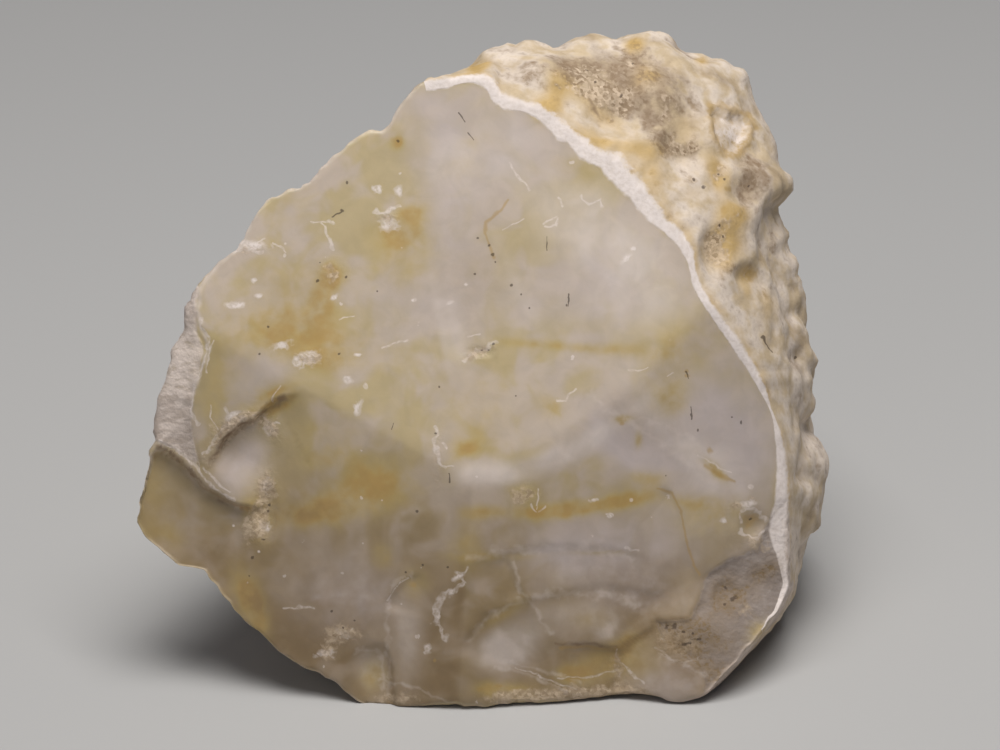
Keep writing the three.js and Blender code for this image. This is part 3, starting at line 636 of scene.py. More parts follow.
grainZones = [
    (-23.3, 24.8, 1, 1.5, -10, 0.9), (-24.3, 20.6, 1.3, 2, -14, 1), (-27, 31.1, 2, 1, 25, 0.9),
    (-29, 28.4, 0.8, 2.2, -38, 0.6), (-22.8, 31.2, 0.9, 1.8, 28, 0.8), (-25.5, 31.9, 1.2, 0.6, 20, 0.7),
    (-14.9, 8.6, 2, 0.9, 0, 0.8), (-16.7, 6.4, 1.1, 1, 0, 0.6), (-16.1, 47.9, 1.4, 1.2, 0, 0.55),
    (4.7, 23.8, 1.4, 0.9, 0, 0.8), (-4.5, 28.1, 0.5, 2.6, 0, 0.6), (21.9, 7.6, 2.9, 1.6, -15, 0.75),
    (29.5, 11, 1.6, 1, 30, 0.5), (0, 39.3, 1.9, 0.7, 22, 0.7), (-18.7, 38.6, 1.5, 0.8, 0, 0.6),
    (-10, 53.9, 1.1, 0.7, 0, 0.7), (-25, 50.8, 1.7, 0.7, 0, 0.6), (28.5, 22.5, 1.7, 0.7, 15, 0.6),
    (30.6, 18.2, 1.5, 1, 0, 0.65), (27.6, 19.2, 0.9, 1, 0, 0.5), (13.3, 68.3, 2.2, 1.7, 0, 0.8),
    (11.6, 70.5, 1.5, 0.9, 0, 0.6), (15.7, 67.1, 1.3, 1.3, 0, 0.8), (16.6, 71.7, 1, 1, 0, 0.5),
    (20.8, 66, 1.3, 2.6, 0, 0.5), (22.7, 62.1, 1.7, 0.8, 0, 0.9), (26.2, 51, 1.1, 2.5, 0, 0.9),
    (26.5, 59.1, 1, 0.9, 0, 0.7), (22.8, 58.2, 1, 0.7, 0, 0.7), (28, 63.9, 1.5, 1.7, 0, 0.35),
    (29.6, 47.9, 0.8, 1, 0, 0.6), (7.2, 68.8, 4.4, 1.5, 0, 0.35), (28.2, 54.7, 1.5, 1.1, 0, 0.4),
    (3.5, 1.7, 3.2, 0.8, 0, 0.75), (10.5, 1.9, 3.4, 0.9, 0, 0.8), (16.5, 2.1, 2.6, 0.8, 0, 0.7),
    (15, 4.8, 1, 1.5, 20, 0.6), (-9, 1.4, 3, 0.8, 0, 0.6),
]

# Fine veins and cracks, painted shadows in cracks and painted highlights on step edges: half width, then the
# points of the line.
whiteLines = [
    (0.12, (3.9, 4.9), (6.1, 4.1), (8.7, 2.9), (10.6, 2.6)),
    (0.1, (8.5, 3.6), (12.4, 3.9), (15.3, 4.4)),
    (0.12, (19.2, 7), (21, 5.7), (22.3, 5.3), (23.8, 5.8)),
    (0.16, (-30.4, 43), (-29.5, 40.3), (-30.6, 36.6), (-31.3, 34.6), (-31.5, 32.4), (-30.6, 31.5)),
    (0.18, (-35, 29.7), (-32.8, 28.4), (-31.2, 26.8), (-30.1, 25.3), (-28.4, 23.9), (-26.8, 23.2)),
    (0.15, (-30.2, 28.1), (-29.2, 29.3), (-28.2, 30.5), (-27.3, 31.5)),
    (0.12, (-30.2, 26.6), (-28.9, 25.3), (-27.3, 24.1)),
    (0.14, (3.3, 60), (3.9, 58.7), (4.6, 58), (5.5, 57.1)),
    (0.14, (11, 56.3), (11.9, 55.4), (13.2, 56.1), (13.4, 55.2)),
    (0.12, (8.5, 56.1), (9.1, 55.3)),
    (0.11, (6.9, 53.4), (8.4, 54), (8.4, 53.1), (7.1, 52.9)),
    (0.09, (2.5, 52.6), (3.6, 53.4), (4.8, 53.8)),
    (0.15, (-18.4, 53.7), (-17.3, 53.5), (-16, 53.5)),
    (0.16, (-17.4, 53.5), (-16.8, 52.3), (-15.9, 50.5)),
    (0.19, (-11.4, 54.7), (-10.4, 54.2), (-9.6, 54.9), (-8.7, 55.2)),
    (0.14, (-10.6, 39.7), (-9.2, 40.2), (-7.9, 40.6)),
    (0.11, (-15.3, 42.9), (-13.7, 43.2)),
    (0.21, (-1.8, 38.3), (-0.4, 39.3), (1.8, 40.3)),
    (0.11, (-1.2, 40.8), (0, 41.2)),
    (0.18, (-4.9, 31.2), (-4.6, 30.3), (-4.9, 29.4), (-4.6, 28.4), (-4.3, 27.5), (-3.6, 26.9),
     (-2.9, 26.9)),
    (0.11, (-4, 29.4), (-3.6, 28.8)),
    (0.12, (8.4, 34), (9.4, 33.9), (9.6, 34.7), (10.4, 35.3)),
    (0.09, (16.2, 37.3), (17.2, 37.2), (18.3, 37.6)),
    (0.1, (20.4, 36.7), (21, 37.1)),
    (0.09, (6.3, 24.4), (6.3, 22.2)),
    (0.12, (5.6, 22.7), (6.2, 22), (7.2, 22.4)),
    (0.12, (11.9, 23.2), (12.8, 23.1)),
    (0.14, (13.8, 21.6), (14.5, 21.4)),
    (0.12, (15.9, 18), (16.6, 17.8), (17.3, 17.6)),
    (0.1, (-21.5, 11.3), (-19.8, 11.4), (-18.1, 11.3)),
    (0.25, (-1.5, 15.9), (-2.1, 15.1), (-1.8, 14.3), (-2.8, 13.4), (-3.7, 12.8), (-4.4, 12),
     (-4.8, 10.8), (-4.8, 9.5), (-4.3, 8.6), (-3.7, 8)),
    (0.14, (-6, 6.6), (-5.3, 6.9)),
    (0.14, (-16, 7.8), (-14.9, 8.6), (-13.9, 8.9)),
    (0.11, (-15.6, 8.3), (-14.5, 7.9)),
    (0.14, (-17.7, 6.3), (-16.7, 6.5), (-16, 5.9)),
    (0.1, (-10.1, 12.2), (-9.1, 13.6), (-7.9, 14.8)),
    (0.14, (14.9, 6.7), (15.2, 5.3), (15.3, 3.8)),
    (0.12, (15.2, 5.3), (16.6, 4.3), (17.9, 3)),
    (0.11, (23.9, 28.1), (25.1, 27.3), (26.5, 26.4), (27.5, 26)),
    (0.11, (-32.6, 45.4), (-32.1, 45.8)),
    (0.12, (-22.6, 51.2), (-21.8, 50.9), (-21.2, 50.2)),
    (0.16, (-27.1, 50.4), (-25.8, 50.4), (-23.7, 50.3)),
    (0.14, (-26.3, 51), (-25, 51.2), (-23.5, 51.5)),
    (0.1, (-27.8, 33.2), (-27.3, 32.3), (-26.5, 32.1)),
    (0.12, (-24.8, 32.3), (-23.7, 32.2), (-22.8, 31.3), (-21.9, 31.5)),
    (0.11, (-22.6, 33.9), (-22.3, 34.7), (-21.7, 35.6)),
    (0.1, (-29.4, 33.5), (-29.3, 32.1), (-28.7, 30.8)),
    (0.1, (-29, 40.6), (-29.6, 38.9), (-29.8, 37.1)),
    (0.11, (-23.1, 25.6), (-23.6, 24.8), (-23.3, 23.8)),
    (0.11, (-24.2, 21), (-23.6, 20), (-23, 20.6)),
    (0.2, (28.5, 20.7), (28.7, 21.5), (29.3, 22), (30.1, 22), (30.8, 21.6), (31.3, 20.8)),
    (0.2, (31.2, 19.7), (30.6, 19), (29.9, 18.8), (29.1, 19.1), (28.6, 19.8)),
]
darkLines = [
    (0.07, (-2.3, 65.5), (-1.6, 64.5)),
    (0.07, (-1.3, 63.3), (-0.7, 62.5)),
    (0.08, (-16.1, 54), (-15, 54.7)),
    (0.07, (9.7, 45.6), (9.5, 44.3)),
    (0.04, (7.3, 51.9), (7.3, 50.4)),
    (0.04, (-9.4, 31.6), (-9.6, 30.9)),
    (0.11, (-3.3, 26.1), (-3.2, 25.2)),
    (0.07, (22.5, 37.2), (22.7, 36.4)),
    (0.08, (23, 33.3), (23.1, 32)),
    (0.11, (31, 41), (31.6, 40.1), (32.2, 39.3)),
]
shadowLines = [
    (0.16, (-35.2, 29), (-33.1, 27.8), (-31.5, 26.2), (-30.4, 24.7), (-28.6, 23.3), (-26.9, 22.6),
     (-25.3, 22.4)),
    (0.2, (-26.5, 31.5), (-25.7, 31.8), (-24.7, 31.9), (-23.7, 32.7), (-22.4, 33.5), (-21.5, 34.3)),
    (0.16, (-29.6, 27.5), (-28.6, 28.6), (-27.6, 29.9), (-26.7, 30.8)),
    (0.15, (11.7, 67.5), (12.3, 66.5), (12.9, 65.6), (13.4, 64.9)),
    (0.1, (8.3, 7.4), (9.8, 7.5), (11.3, 7.4), (12.5, 7.5), (13.8, 7.1), (14.9, 7)),
]
# Painted highlights along the edges of the steps and the facet border.
litEdgeLines = [
    (0.16, (-10, 1.9), (-10.1, 6.8), (-10.1, 11), (-9.7, 13.1), (-8.5, 14.7), (-7.4, 15.2)),
    (0.14, (-13.7, 6.3), (-12.9, 6.8), (-11.4, 6.7), (-10.6, 5.7), (-10.5, 2.5)),
    (0.22, (-1.3, 16.6), (1.3, 17.5), (4.4, 17.8), (8.7, 18), (13.1, 17.6), (16.4, 16.6)),
    (0.2, (-1.3, 7.9), (0.4, 9.9), (2.5, 11), (4.5, 12.3)),
    (0.22, (5.2, 12.3), (7.8, 12.9), (12, 12.9), (15.3, 12.3), (17.4, 11.6)),
    (0.12, (3.7, 16.4), (4.1, 14.7), (4.4, 13.1), (5.2, 12.5), (6.1, 11.2), (6.8, 9.9), (7.8, 8.6)),
    (0.2, (12, 34.6), (15.5, 32.1), (18.5, 30.1), (22, 27.7), (24.4, 25.6)),
    (0.16, (17.4, 31.9), (20.5, 31.3), (23.5, 29.7), (25.3, 26.4)),
    (0.1, (-10.9, 3.5), (-6.5, 2.5), (-4.4, 1.4), (-2.7, 1.1)),
    (0.12, (1.7, 4.9), (4.4, 4.4), (7.1, 3.3), (9.4, 2.2)),
    (0.12, (2.7, 5.7), (5.5, 4.9), (8.3, 4), (10.9, 3.3)),
    (0.12, (19.6, 6.3), (22.9, 4.9), (25.6, 3.5), (27.8, 2.2)),
]
ochreLines = [
    (0.35, *ringedPit),
    (0.13, (3.1, 55.9), (2.2, 54.7), (0.6, 53.4), (0.6, 52.2), (1.1, 50.9), (1.5, 49.6)),
    (0.17, (24.7, 26.9), (25.7, 26.2), (26.7, 25.6), (27.9, 25.2)),
    (0.11, (19.4, 24.4), (21, 23.9), (22, 21.9), (22.4, 19.9), (22.8, 18), (23.5, 15.9), (24.1, 14.9)),
    (0.15, (8.8, 7), (11.5, 7.1), (14.9, 6.7), (16.8, 7.8), (18.2, 8.5)),
    (0.17, (-26.1, 22.3), (-25, 22)),
    (0.17, (-24.2, 11.5), (-23.8, 10.1)),
    (0.13, (-23.7, 33.2), (-22.2, 34.1)),
]

# Flecks and specks: u, v, half width, half height, turn in degrees.
whiteDots = [
    (-2.3, 14.8, 0.7, 0.3, 25), (-3.1, 13.1, 0.5, 0.3, 40), (-4.6, 10.6, 0.28, 0.9, 0),
    (28, 63.8, 1.6, 1.7, 0), (-10.1, 53, 1.04, 0.72, 20), (-11.3, 57.2, 0.53, 0.4, -30),
    (-8.9, 57, 0.4, 0.53, 0), (-25.1, 50.9, 1.97, 0.53, 5), (-26.6, 44.4, 1.04, 0.34, 0),
    (-21.6, 40, 1.04, 0.4, 10), (-18.7, 38.6, 1.18, 0.66, 15), (-19.7, 38.4, 0.66, 0.53, 0),
    (-15.8, 45.3, 0.53, 0.26, 25), (-13.3, 33.2, 0.4, 0.78, -20), (-14.3, 36.3, 0.4, 0.31, 0),
    (-24.5, 47.1, 0.32, 0.26, 0), (-24.1, 45.4, 0.4, 0.32, 0), (29.7, 24.5, 0.44, 0.29, -15),
    (26.7, 20.8, 0.32, 0.26, 0), (29.5, 22.6, 0.66, 0.4, 10), (-14.9, 8.6, 1.04, 0.4, -10),
    (-16.8, 6.4, 0.91, 0.4, 10), (-5.7, 6.9, 0.4, 0.5, -15), (-26.9, 32.3, 0.78, 0.4, 30),
    (-23, 30.9, 0.78, 0.53, -30), (-26.1, 32.1, 0.53, 0.4, 0), (-12.4, 35.6, 0.26, 0.32, 0),
    (-13.2, 39, 0.4, 0.19, 0), (-27, 20.3, 0.16, 0.16, 0), (-24.2, 17.5, 0.18, 0.18, 0),
    (-7.2, 45, 0.26, 0.19, 0), (-1.5, 46.7, 0.2, 0.16, 0), (-3.3, 44.7, 0.4, 0.17, 15),
    (16, 49.4, 0.66, 0.32, 40), (16.8, 50.6, 0.32, 0.26, 0), (-23.4, 24.7, 0.53, 0.66, 0),
    (-23.6, 20.2, 0.66, 0.53, 0), (12.4, 23.2, 0.4, 0.16, 0), (14.2, 21.5, 0.34, 0.2, 0),
]
darkDots = [
    (-9, 62.4, 0.17, 0.17, 0), (-14.5, 57.8, 0.14, 0.2, 0), (-15, 54.7, 0.2, 0.2, 0),
    (-17.7, 47.1, 0.2, 0.17, 0), (-14.6, 47.5, 0.14, 0.14, 0), (-17.4, 49.1, 0.15, 0.11, 0),
    (-11.2, 45.9, 0.11, 0.11, 0), (-23.1, 42, 0.15, 0.15, 0), (-24, 39.1, 0.14, 0.14, 0),
    (-15.3, 39.1, 0.24, 0.13, 35), (-0.2, 51.7, 0.14, 0.14, 0), (1, 50.9, 0.14, 0.14, 0),
    (1.4, 49.9, 0.2, 0.2, 0), (1.7, 49.1, 0.1, 0.1, 0), (-0.5, 47.8, 0.16, 0.16, 0),
    (3.4, 46.6, 0.15, 0.15, 0), (4.5, 45.6, 0.1, 0.1, 0), (5.4, 44.1, 0.11, 0.11, 0),
    (9.7, 45.5, 0.11, 0.17, 0), (9.5, 44.4, 0.11, 0.17, 0), (-4.4, 35.5, 0.11, 0.13, 0),
    (-6.8, 21.9, 0.17, 0.17, 0), (0.2, 39.5, 0.15, 0.13, 0), (0.9, 39.5, 0.17, 0.11, 0),
    (1.5, 40.2, 0.2, 0.15, 0), (-4.8, 30.5, 0.17, 0.15, 0), (-24.9, 16.8, 0.19, 0.19, 0),
    (-25.2, 14.8, 0.15, 0.13, 0), (-23, 22.6, 0.16, 0.16, 0), (-23.2, 21.9, 0.2, 0.16, 0),
    (-23.7, 18.8, 0.22, 0.16, 0), (-16.2, 11, 0.13, 0.13, 0), (-14.9, 9.2, 0.13, 0.13, 0),
    (-13.7, 10, 0.12, 0.12, 0), (-8.1, 15.3, 0.13, 0.13, 0), (-6.2, 16.1, 0.12, 0.12, 0),
    (-3.5, 15.9, 0.13, 0.11, 0), (3.9, 34.5, 0.13, 0.13, 0), (20.3, 25.8, 0.13, 0.13, 0),
    (23.1, 32.4, 0.13, 0.27, 0), (23.8, 30.8, 0.15, 0.2, 0), (28.6, 31.6, 0.13, 0.22, 0),
    (27.6, 32.2, 0.11, 0.11, 0), (21.3, 9.3, 0.4, 0.4, 0), (22.3, 8.7, 0.22, 0.17, 0),
    (23.3, 8.6, 0.17, 0.15, 0), (22.6, 7.4, 0.55, 0.2, 15), (20.4, 9.1, 0.3, 0.2, 30),
    (23.9, 7.9, 0.3, 0.15, -20), (21.8, 7.2, 0.17, 0.14, 0), (27.8, 12.2, 0.45, 0.3, 30),
    (27, 13.4, 0.25, 0.2, 0), (26.9, 11.6, 0.2, 0.15, 0), (15.6, 67.6, 0.22, 0.22, 0),
    (23.5, 58.3, 0.22, 0.22, 0), (24.6, 57.4, 0.2, 0.2, 0), (27, 58.4, 0.16, 0.16, 0),
    (11.8, 70.6, 0.2, 0.15, 0), (12.7, 69.2, 0.2, 0.17, 0), (16.9, 71.3, 0.16, 0.12, 0),
    (27.2, 62.4, 0.2, 0.12, 0), (28.9, 65.1, 0.27, 0.16, 0), (26.3, 58.9, 0.14, 0.14, 0),
    (29.7, 57.7, 0.16, 0.16, 0), (35.2, 38.8, 0.14, 0.14, 0), (26.3, 53.2, 0.12, 0.2, 0),
    (26.7, 52, 0.12, 0.2, 0), (29.7, 21, 0.2, 0.16, 0),
]
ochreDots = [
    (-9, 62.4, 0.49, 0.49, 0), (-4.9, 5.7, 0.22, 0.22, 0), (0, 2.5, 0.44, 0.27, 0),
    (2.1, 2.8, 0.55, 0.27, 0), (22.6, 36.7, 0.33, 0.22, 0), (22.5, 37.2, 0.33, 0.22, 0),
    (25.1, 28.5, 0.33, 0.44, 0), (17.3, 73.9, 0.55, 0.33, 0), (25, 72.2, 0.55, 0.33, 0),
    (-25.7, 22.2, 0.55, 0.33, 0), (-0.5, 70.8, 0.98, 0.65, -30), (27.3, 57.3, 0.44, 0.33, 0),
    (26.8, 55, 0.44, 0.55, 0), (28.4, 54.5, 0.44, 0.33, 0), (29.8, 47.9, 0.76, 0.76, 0),
    (29.6, 20.7, 0.9, 0.7, 30), (29.5, 64.1, 0.33, 0.55, 0), (15.5, 31.5, 0.33, 0.22, 0),
    (-25, 12.5, 0.44, 0.65, 0), (-7.3, 14, 0.44, 0.33, 0),
]

stoneMarks = {
    "seed": 8,
    "zoneFade": 0.7,  # how fast a soft stain fades outwards
    # Painted shade: darker on the lower left fracture and towards the foot of the face.
    "leftShade": 0.2,
    "lowerShade": 0.66,
    "lowerShadeEnds": (10, 34),  # heights between which the lower shade fades
    "ochreStrength": 1.35,
    "frontEnds": (22, 32),  # depths over which random stains take over from the listed ones
    "leftFrontEnds": (2.5, 6),  # the same where there is no rind
    "randomStrength": (0.35, 0.95),
    "randomSquash": (1, 1, 0.8),
    "randomOchre": (26, (1.5, 5)),  # how many, and their radii
    "randomSmoke": (26, (1.5, 6)),
    "randomGrain": (34, (1, 3.2)),
    "lineReach": 4.5,  # how far from a mark a triangle keeps it, in half widths
    "lineAllowance": 0.35,  # mm from the middle of a triangle to its corners
    "dotReach": 2.6,
    "dotSearch": 3,  # mm round a fleck within which triangles are looked at
    "bandFollows": (-20, -33),  # degrees over which the band comes to run along the very edge
    "bandThins": ((-42, -30), (0.05, 1)),  # degrees and its width in mm
    "bandEnds": (-42, 101),
    "bandBehind": (0.06, 0.1),  # share of rind at its border behind the face, and its softness
    "bandDepth": 1.5,
    # The painted glow along the left edge:
    "rimFrom": 155,  # degrees round the stone, on the left
    "rimEnds": (45, 60),
    "rimWidth": 0.35,
    "rimStrength": 0.5,
    "patchDepth": (4.5, 1.1, 2),  # how deep the patches reach, the waves of that edge, its softness
    "frontDepth": 26,  # lines and flecks lie in front of this depth
}
kindNumbers = {"white": 1, "dark": 2, "shadow": 3, "pale": 4, "ochre": 1}


# How far places lie from the middle of a mark along its width and its height, as shares of them.
def alongMark(u, v, middleU, middleV, wide, high, turn):
    angle = math.radians(turn)
    alongU = (u - middleU) * math.cos(angle) + (v - middleV) * math.sin(angle)
    alongV = (v - middleV) * math.cos(angle) - (u - middleU) * math.sin(angle)
    return alongU / wide, alongV / high


def softZones(u, v, zones):
    total = np.zeros(u.shape)
    for *zone, strength in zones:
        alongU, alongV = alongMark(u, v, *zone)
        total += strength * np.exp(-stoneMarks["zoneFade"] * (alongU ** 2 + alongV ** 2))
    return np.minimum(total, 1)


# On the back and the sides the stains lie at random places.
def scatteredZones(points, random, count, radii, within):
    total = np.zeros(len(points))
    for _ in range(count):
        middle = points[random.integers(len(points))]
        radius = random.uniform(*radii)
        strength = random.uniform(*stoneMarks["randomStrength"])
        away = np.linalg.norm((points - middle) * stoneMarks["randomSquash"], axis=1)
        total += strength * np.exp(-((away / radius) ** 2))
    return np.minimum(total, 1) * within


# Empty marks for the corners of every triangle, the triangles' middles, and no mark near them yet.
def blankMarks(corners):
    marks = np.zeros(corners.shape[:2] + (3,))
    marks[..., :2] = farAway
    return marks, corners.mean(axis=1), np.full(len(corners), np.inf)


# Every triangle near a line keeps, at its corners, how far they lie beside the line and past its ends,
# in half widths, and the kind of line.
def lineMarks(corners, facesFront, kinds):
    marks, middles, nearest = blankMarks(corners)
    order = np.argsort(middles[:, 0])
    sortedU = middles[order, 0]
    rows = [(kind, *row) for kind, lines in kinds.items() for row in lines]
    for kind, halfWidth, *line in rows:
        for start, end in zip(line, line[1:]):
            low, high = sorted((start[0], end[0]))
            picked = order[np.searchsorted(sortedU, low - 1):np.searchsorted(sortedU, high + 1)]
            picked = picked[facesFront[picked]]
            step = np.array(end) - start
            length = np.hypot(*step)
            step = step / length
            reach = np.clip((middles[picked, :2] - start) @ step, 0, length)
            gap = np.linalg.norm(middles[picked, :2] - start - reach[:, None] * step, axis=1)
            share = (gap - stoneMarks["lineAllowance"]) / halfWidth
            closer = (share < stoneMarks["lineReach"]) & (share < nearest[picked])
            picked = picked[closer]
            nearest[picked] = share[closer]
            away = corners[picked][..., :2] - start
            marks[picked, :, 0] = (away[..., 0] * step[1] - away[..., 1] * step[0]) / halfWidth
            along = away @ step
            marks[picked, :, 1] = np.maximum(-along, along - length) / halfWidth
            marks[picked, :, 2] = kindNumbers[kind]
    return marks


def dotMarks(corners, facesFront, kinds):
    marks, middles, nearest = blankMarks(corners)
    for kind, row in [(kind, row) for kind, dots in kinds.items() for row in dots]:
        near = np.abs(middles[:, :2] - row[:2]) < stoneMarks["dotSearch"]
        picked = np.flatnonzero(facesFront & near.all(axis=1))
        alongU, alongV = alongMark(corners[picked][..., 0], corners[picked][..., 1], *row)
        share = np.hypot(alongU, alongV).min(axis=1)
        closer = (share < stoneMarks["dotReach"]) & (share < nearest[picked])
        nearest[picked[closer]] = share[closer]
        marks[picked[closer], :, 0] = alongU[closer]
        marks[picked[closer], :, 1] = alongV[closer]
        marks[picked[closer], :, 2] = kindNumbers[kind]
    return marks


def rowsByAngle(line):
    angles, radii = aboutMiddle(*np.array(line, dtype=float).T)
    order = np.argsort(angles)
    return angles[order], radii[order]


# Across the white band: 0 at its inner edge, 1 at its outer edge.
def bandPlace(u, v):
    angle, radius = aboutMiddle(u, v)
    inner, outer = (np.interp(angle, *rowsByAngle(line)) for line in (bandInner, bandOuter))
    follow = smooth(angle, *stoneMarks["bandFollows"])
    outer += (sideRadius(angle, np.zeros(len(u))) - outer) * follow
    inner += (outer - np.interp(angle, *stoneMarks["bandThins"]) - inner) * follow
    first, last = stoneMarks["bandEnds"]
    return np.where((angle > first) & (angle < last), (radius - inner) / (outer - inner), -farAway)


# Painted glow: the broken edge on the left is painted pale where light comes through it.
def paintedRimGlow(u, v, depth):
    angle, radius = aboutMiddle(u, v)
    inside = sideRadius(angle, np.zeros(len(u))) - radius
    shine = stoneMarks["rimStrength"] * np.exp(-((inside / stoneMarks["rimWidth"]) ** 2))
    return shine * (1 - smooth(turnFrom(angle, stoneMarks["rimFrom"]), *stoneMarks["rimEnds"])) * (depth < 1)


def addValues(mesh, values, kind, domain):
    for name, numbers in values.items():
        attribute = mesh.attributes.new(name, kind, domain)
        field = "value" if kind == "FLOAT" else "vector"
        attribute.data.foreach_set(field, np.asarray(numbers, np.float32).ravel())


def facesIn(places, triangles):
    a, b, c = (places[triangles[:, i]] for i in range(3))
    return np.sum(a * np.cross(b, c)) < 0


# The colour zones at every point of the stone.
def stainsOf(points, depth, onFace, around, rind):
    u, v, w = points.T
    random = np.random.default_rng(stoneMarks["seed"])
    broken = 1 - smooth(around, *rindCover["brokenEnds"])
    front = 1 - smooth(w, *stoneMarks["frontEnds"])
    front = front * (1 - smooth(depth, *stoneMarks["leftFrontEnds"]) * broken)
    behind = 1 - front

    def scattered(name, within):
        return scatteredZones(points, random, *stoneMarks[name], within)

    ochre = np.minimum(softZones(u, v, ochreZones) * stoneMarks["ochreStrength"], 1) * front
    shade = stoneMarks["lowerShade"] * (1 - smooth(v, *stoneMarks["lowerShadeEnds"]))
    border, softness = stoneMarks["bandBehind"]
    behindBand = np.clip((around - border) / softness, -farAway, farAway)
    patch = np.maximum(insideOutline(u, v, leftPatch), insideOutline(u, v, lowerPatch))
    patchEnd, patchWaves, patchSoftness = stoneMarks["patchDepth"]
    return {
        "ochre": ochre + scattered("randomOchre", behind),
        "smokeAndShade": softZones(u, v, smokeAndShadeZones) * front + scattered("randomSmoke", behind),
        # Painted shade: darker on the lower left fracture and towards the foot of the face.
        "shade": (stoneMarks["leftShade"] * lowerLeftShare(u, v) + shade) * onFace,
        "grain": softZones(u, v, grainZones) * front + scattered("randomGrain", behind * rind),
        "mauve": softZones(u, v, mauveZones) * front,
        # Milky zones of the opal, and the painted glow along the left edge.
        "milkAndGlow": np.maximum(softZones(u, v, milkZones) * front, paintedRimGlow(u, v, depth)),
        "band": np.where(depth < stoneMarks["bandDepth"], bandPlace(u, v), behindBand),
        "patch": np.minimum(patch, (patchEnd + np.sin(v / patchWaves) - depth) / patchSoftness),
    }


def makeStone():
    points, triangles = smoothStone()
    u, v, w = points.T
    depth = w - fractureDepth(u, v)
    face, side = faceAndSide(points)
    onFace = smooth(face - side, *stoneForm["faceEnds"])
    normals = pointNormals(points, triangles)
    around = rindAround(points)
    rind = smooth(depth, *rindCover["depths"]) * around
    free = smooth(heightAndBack(v, w)[0], *stoneForm["footHeights"])
    onFront = (w < stoneForm["rindHollowDepth"]) * (1 - onFace)
    swell = stoneForm["knobHeight"] * rind * (knobs(points) - stoneForm["creaseLevel"])
    swell = swell - rindRelief(u, v) * onFront
    shaped = points + normals * (swell * free)[:, None]
    shaped[:, 2] += onFace * faceRelief(u, v)
    places = faceToFrame(shaped)
    places[:, 2] = np.where(places[:, 2] < stoneForm["onFloorBelow"], 0, places[:, 2])
    mesh = bpy.data.meshes.new("opal_stone")
    mesh.from_pydata(places, [], triangles[:, ::-1] if facesIn(places, triangles) else triangles)
    stone = inScene("opal_stone", mesh)
    stains = stainsOf(points, depth, onFace, around, rind)
    addValues(mesh, {**stains, "rind": rind, "free": free, "onFace": onFace}, "FLOAT", "POINT")
    corners = shaped[np.array([polygon.vertices[:] for polygon in mesh.polygons])]
    facesFront = corners.mean(axis=1)[:, 2] < stoneMarks["frontDepth"]
    facesFront &= normals[triangles].mean(axis=1)[:, 2] < stoneForm["frontFacing"]
    veins = {"white": whiteLines, "dark": darkLines, "shadow": shadowLines, "pale": litEdgeLines}
    marks = {
        "vein": lineMarks(corners, facesFront, veins),
        "stainVein": lineMarks(corners, facesFront, {"ochre": ochreLines}),
        "fleck": dotMarks(corners, facesFront, {"white": whiteDots, "dark": darkDots}),
        "stainFleck": dotMarks(corners, facesFront, {"ochre": ochreDots}),
    }
    addValues(mesh, marks, "FLOAT_VECTOR", "CORNER")
    return stone


# The fine relief, by Geometry Nodes; spacings and heights in metres.
skinRelief = {
    "Knob Spacing": 0.0026,
    "Knob Height": 0.0004,
    "Pimple Spacing": 0.0011,
    "Pimple Height": 0.00016,
    "Grain Spacing": 0.0006,
    "Grain Height": 0.00024,
    "Wave Spacing": 0.013,
    "Wave Height": 0.00022,
    "Chip Spacing": 0.0014,
    "Chip Height": 0.0009,  # along the broken rim
    "Seed": 3,
}
skinDetail = {
    "seedStep": 0.37,  # metres the pattern moves for each step of the seed
    "noiseDetail": 3.0,
    "cellSmoothness": 0.35,
    "patchRoughness": 0.5,
}


def addNode(tree, kind, inputs=None, **settings):
    node = tree.nodes.new(kind)
    for name, value in settings.items():
        setattr(node, name, value)
    for name, value in (inputs or {}).items():
        if isinstance(value, bpy.types.NodeSocket):
            tree.links.new(value, node.inputs[name])
        else:
            node.inputs[name].default_value = value
    return node


def calculate(tree, operation, *values):
    return addNode(tree, "ShaderNodeMath", dict(enumerate(values)), operation=operation).outputs[0]


# Times, plus, minus and the largest, of any number of values, in one node tree.
def sumsIn(tree):
    def inTurn(operation, *values):
        return reduce(partial(calculate, tree, operation), values)

    return [partial(inTurn, operation) for operation in ("MULTIPLY", "ADD", "SUBTRACT", "MAXIMUM")]


def smoothBetween(tree, value, low, high, start=0.0, end=1.0):
    inputs = {"Value": value, "From Min": low, "From Max": high, "To Min": start, "To Max": end}
    node = addNode(tree, "ShaderNodeMapRange", inputs, interpolation_type="SMOOTHSTEP")
    return node.outputs["Result"]


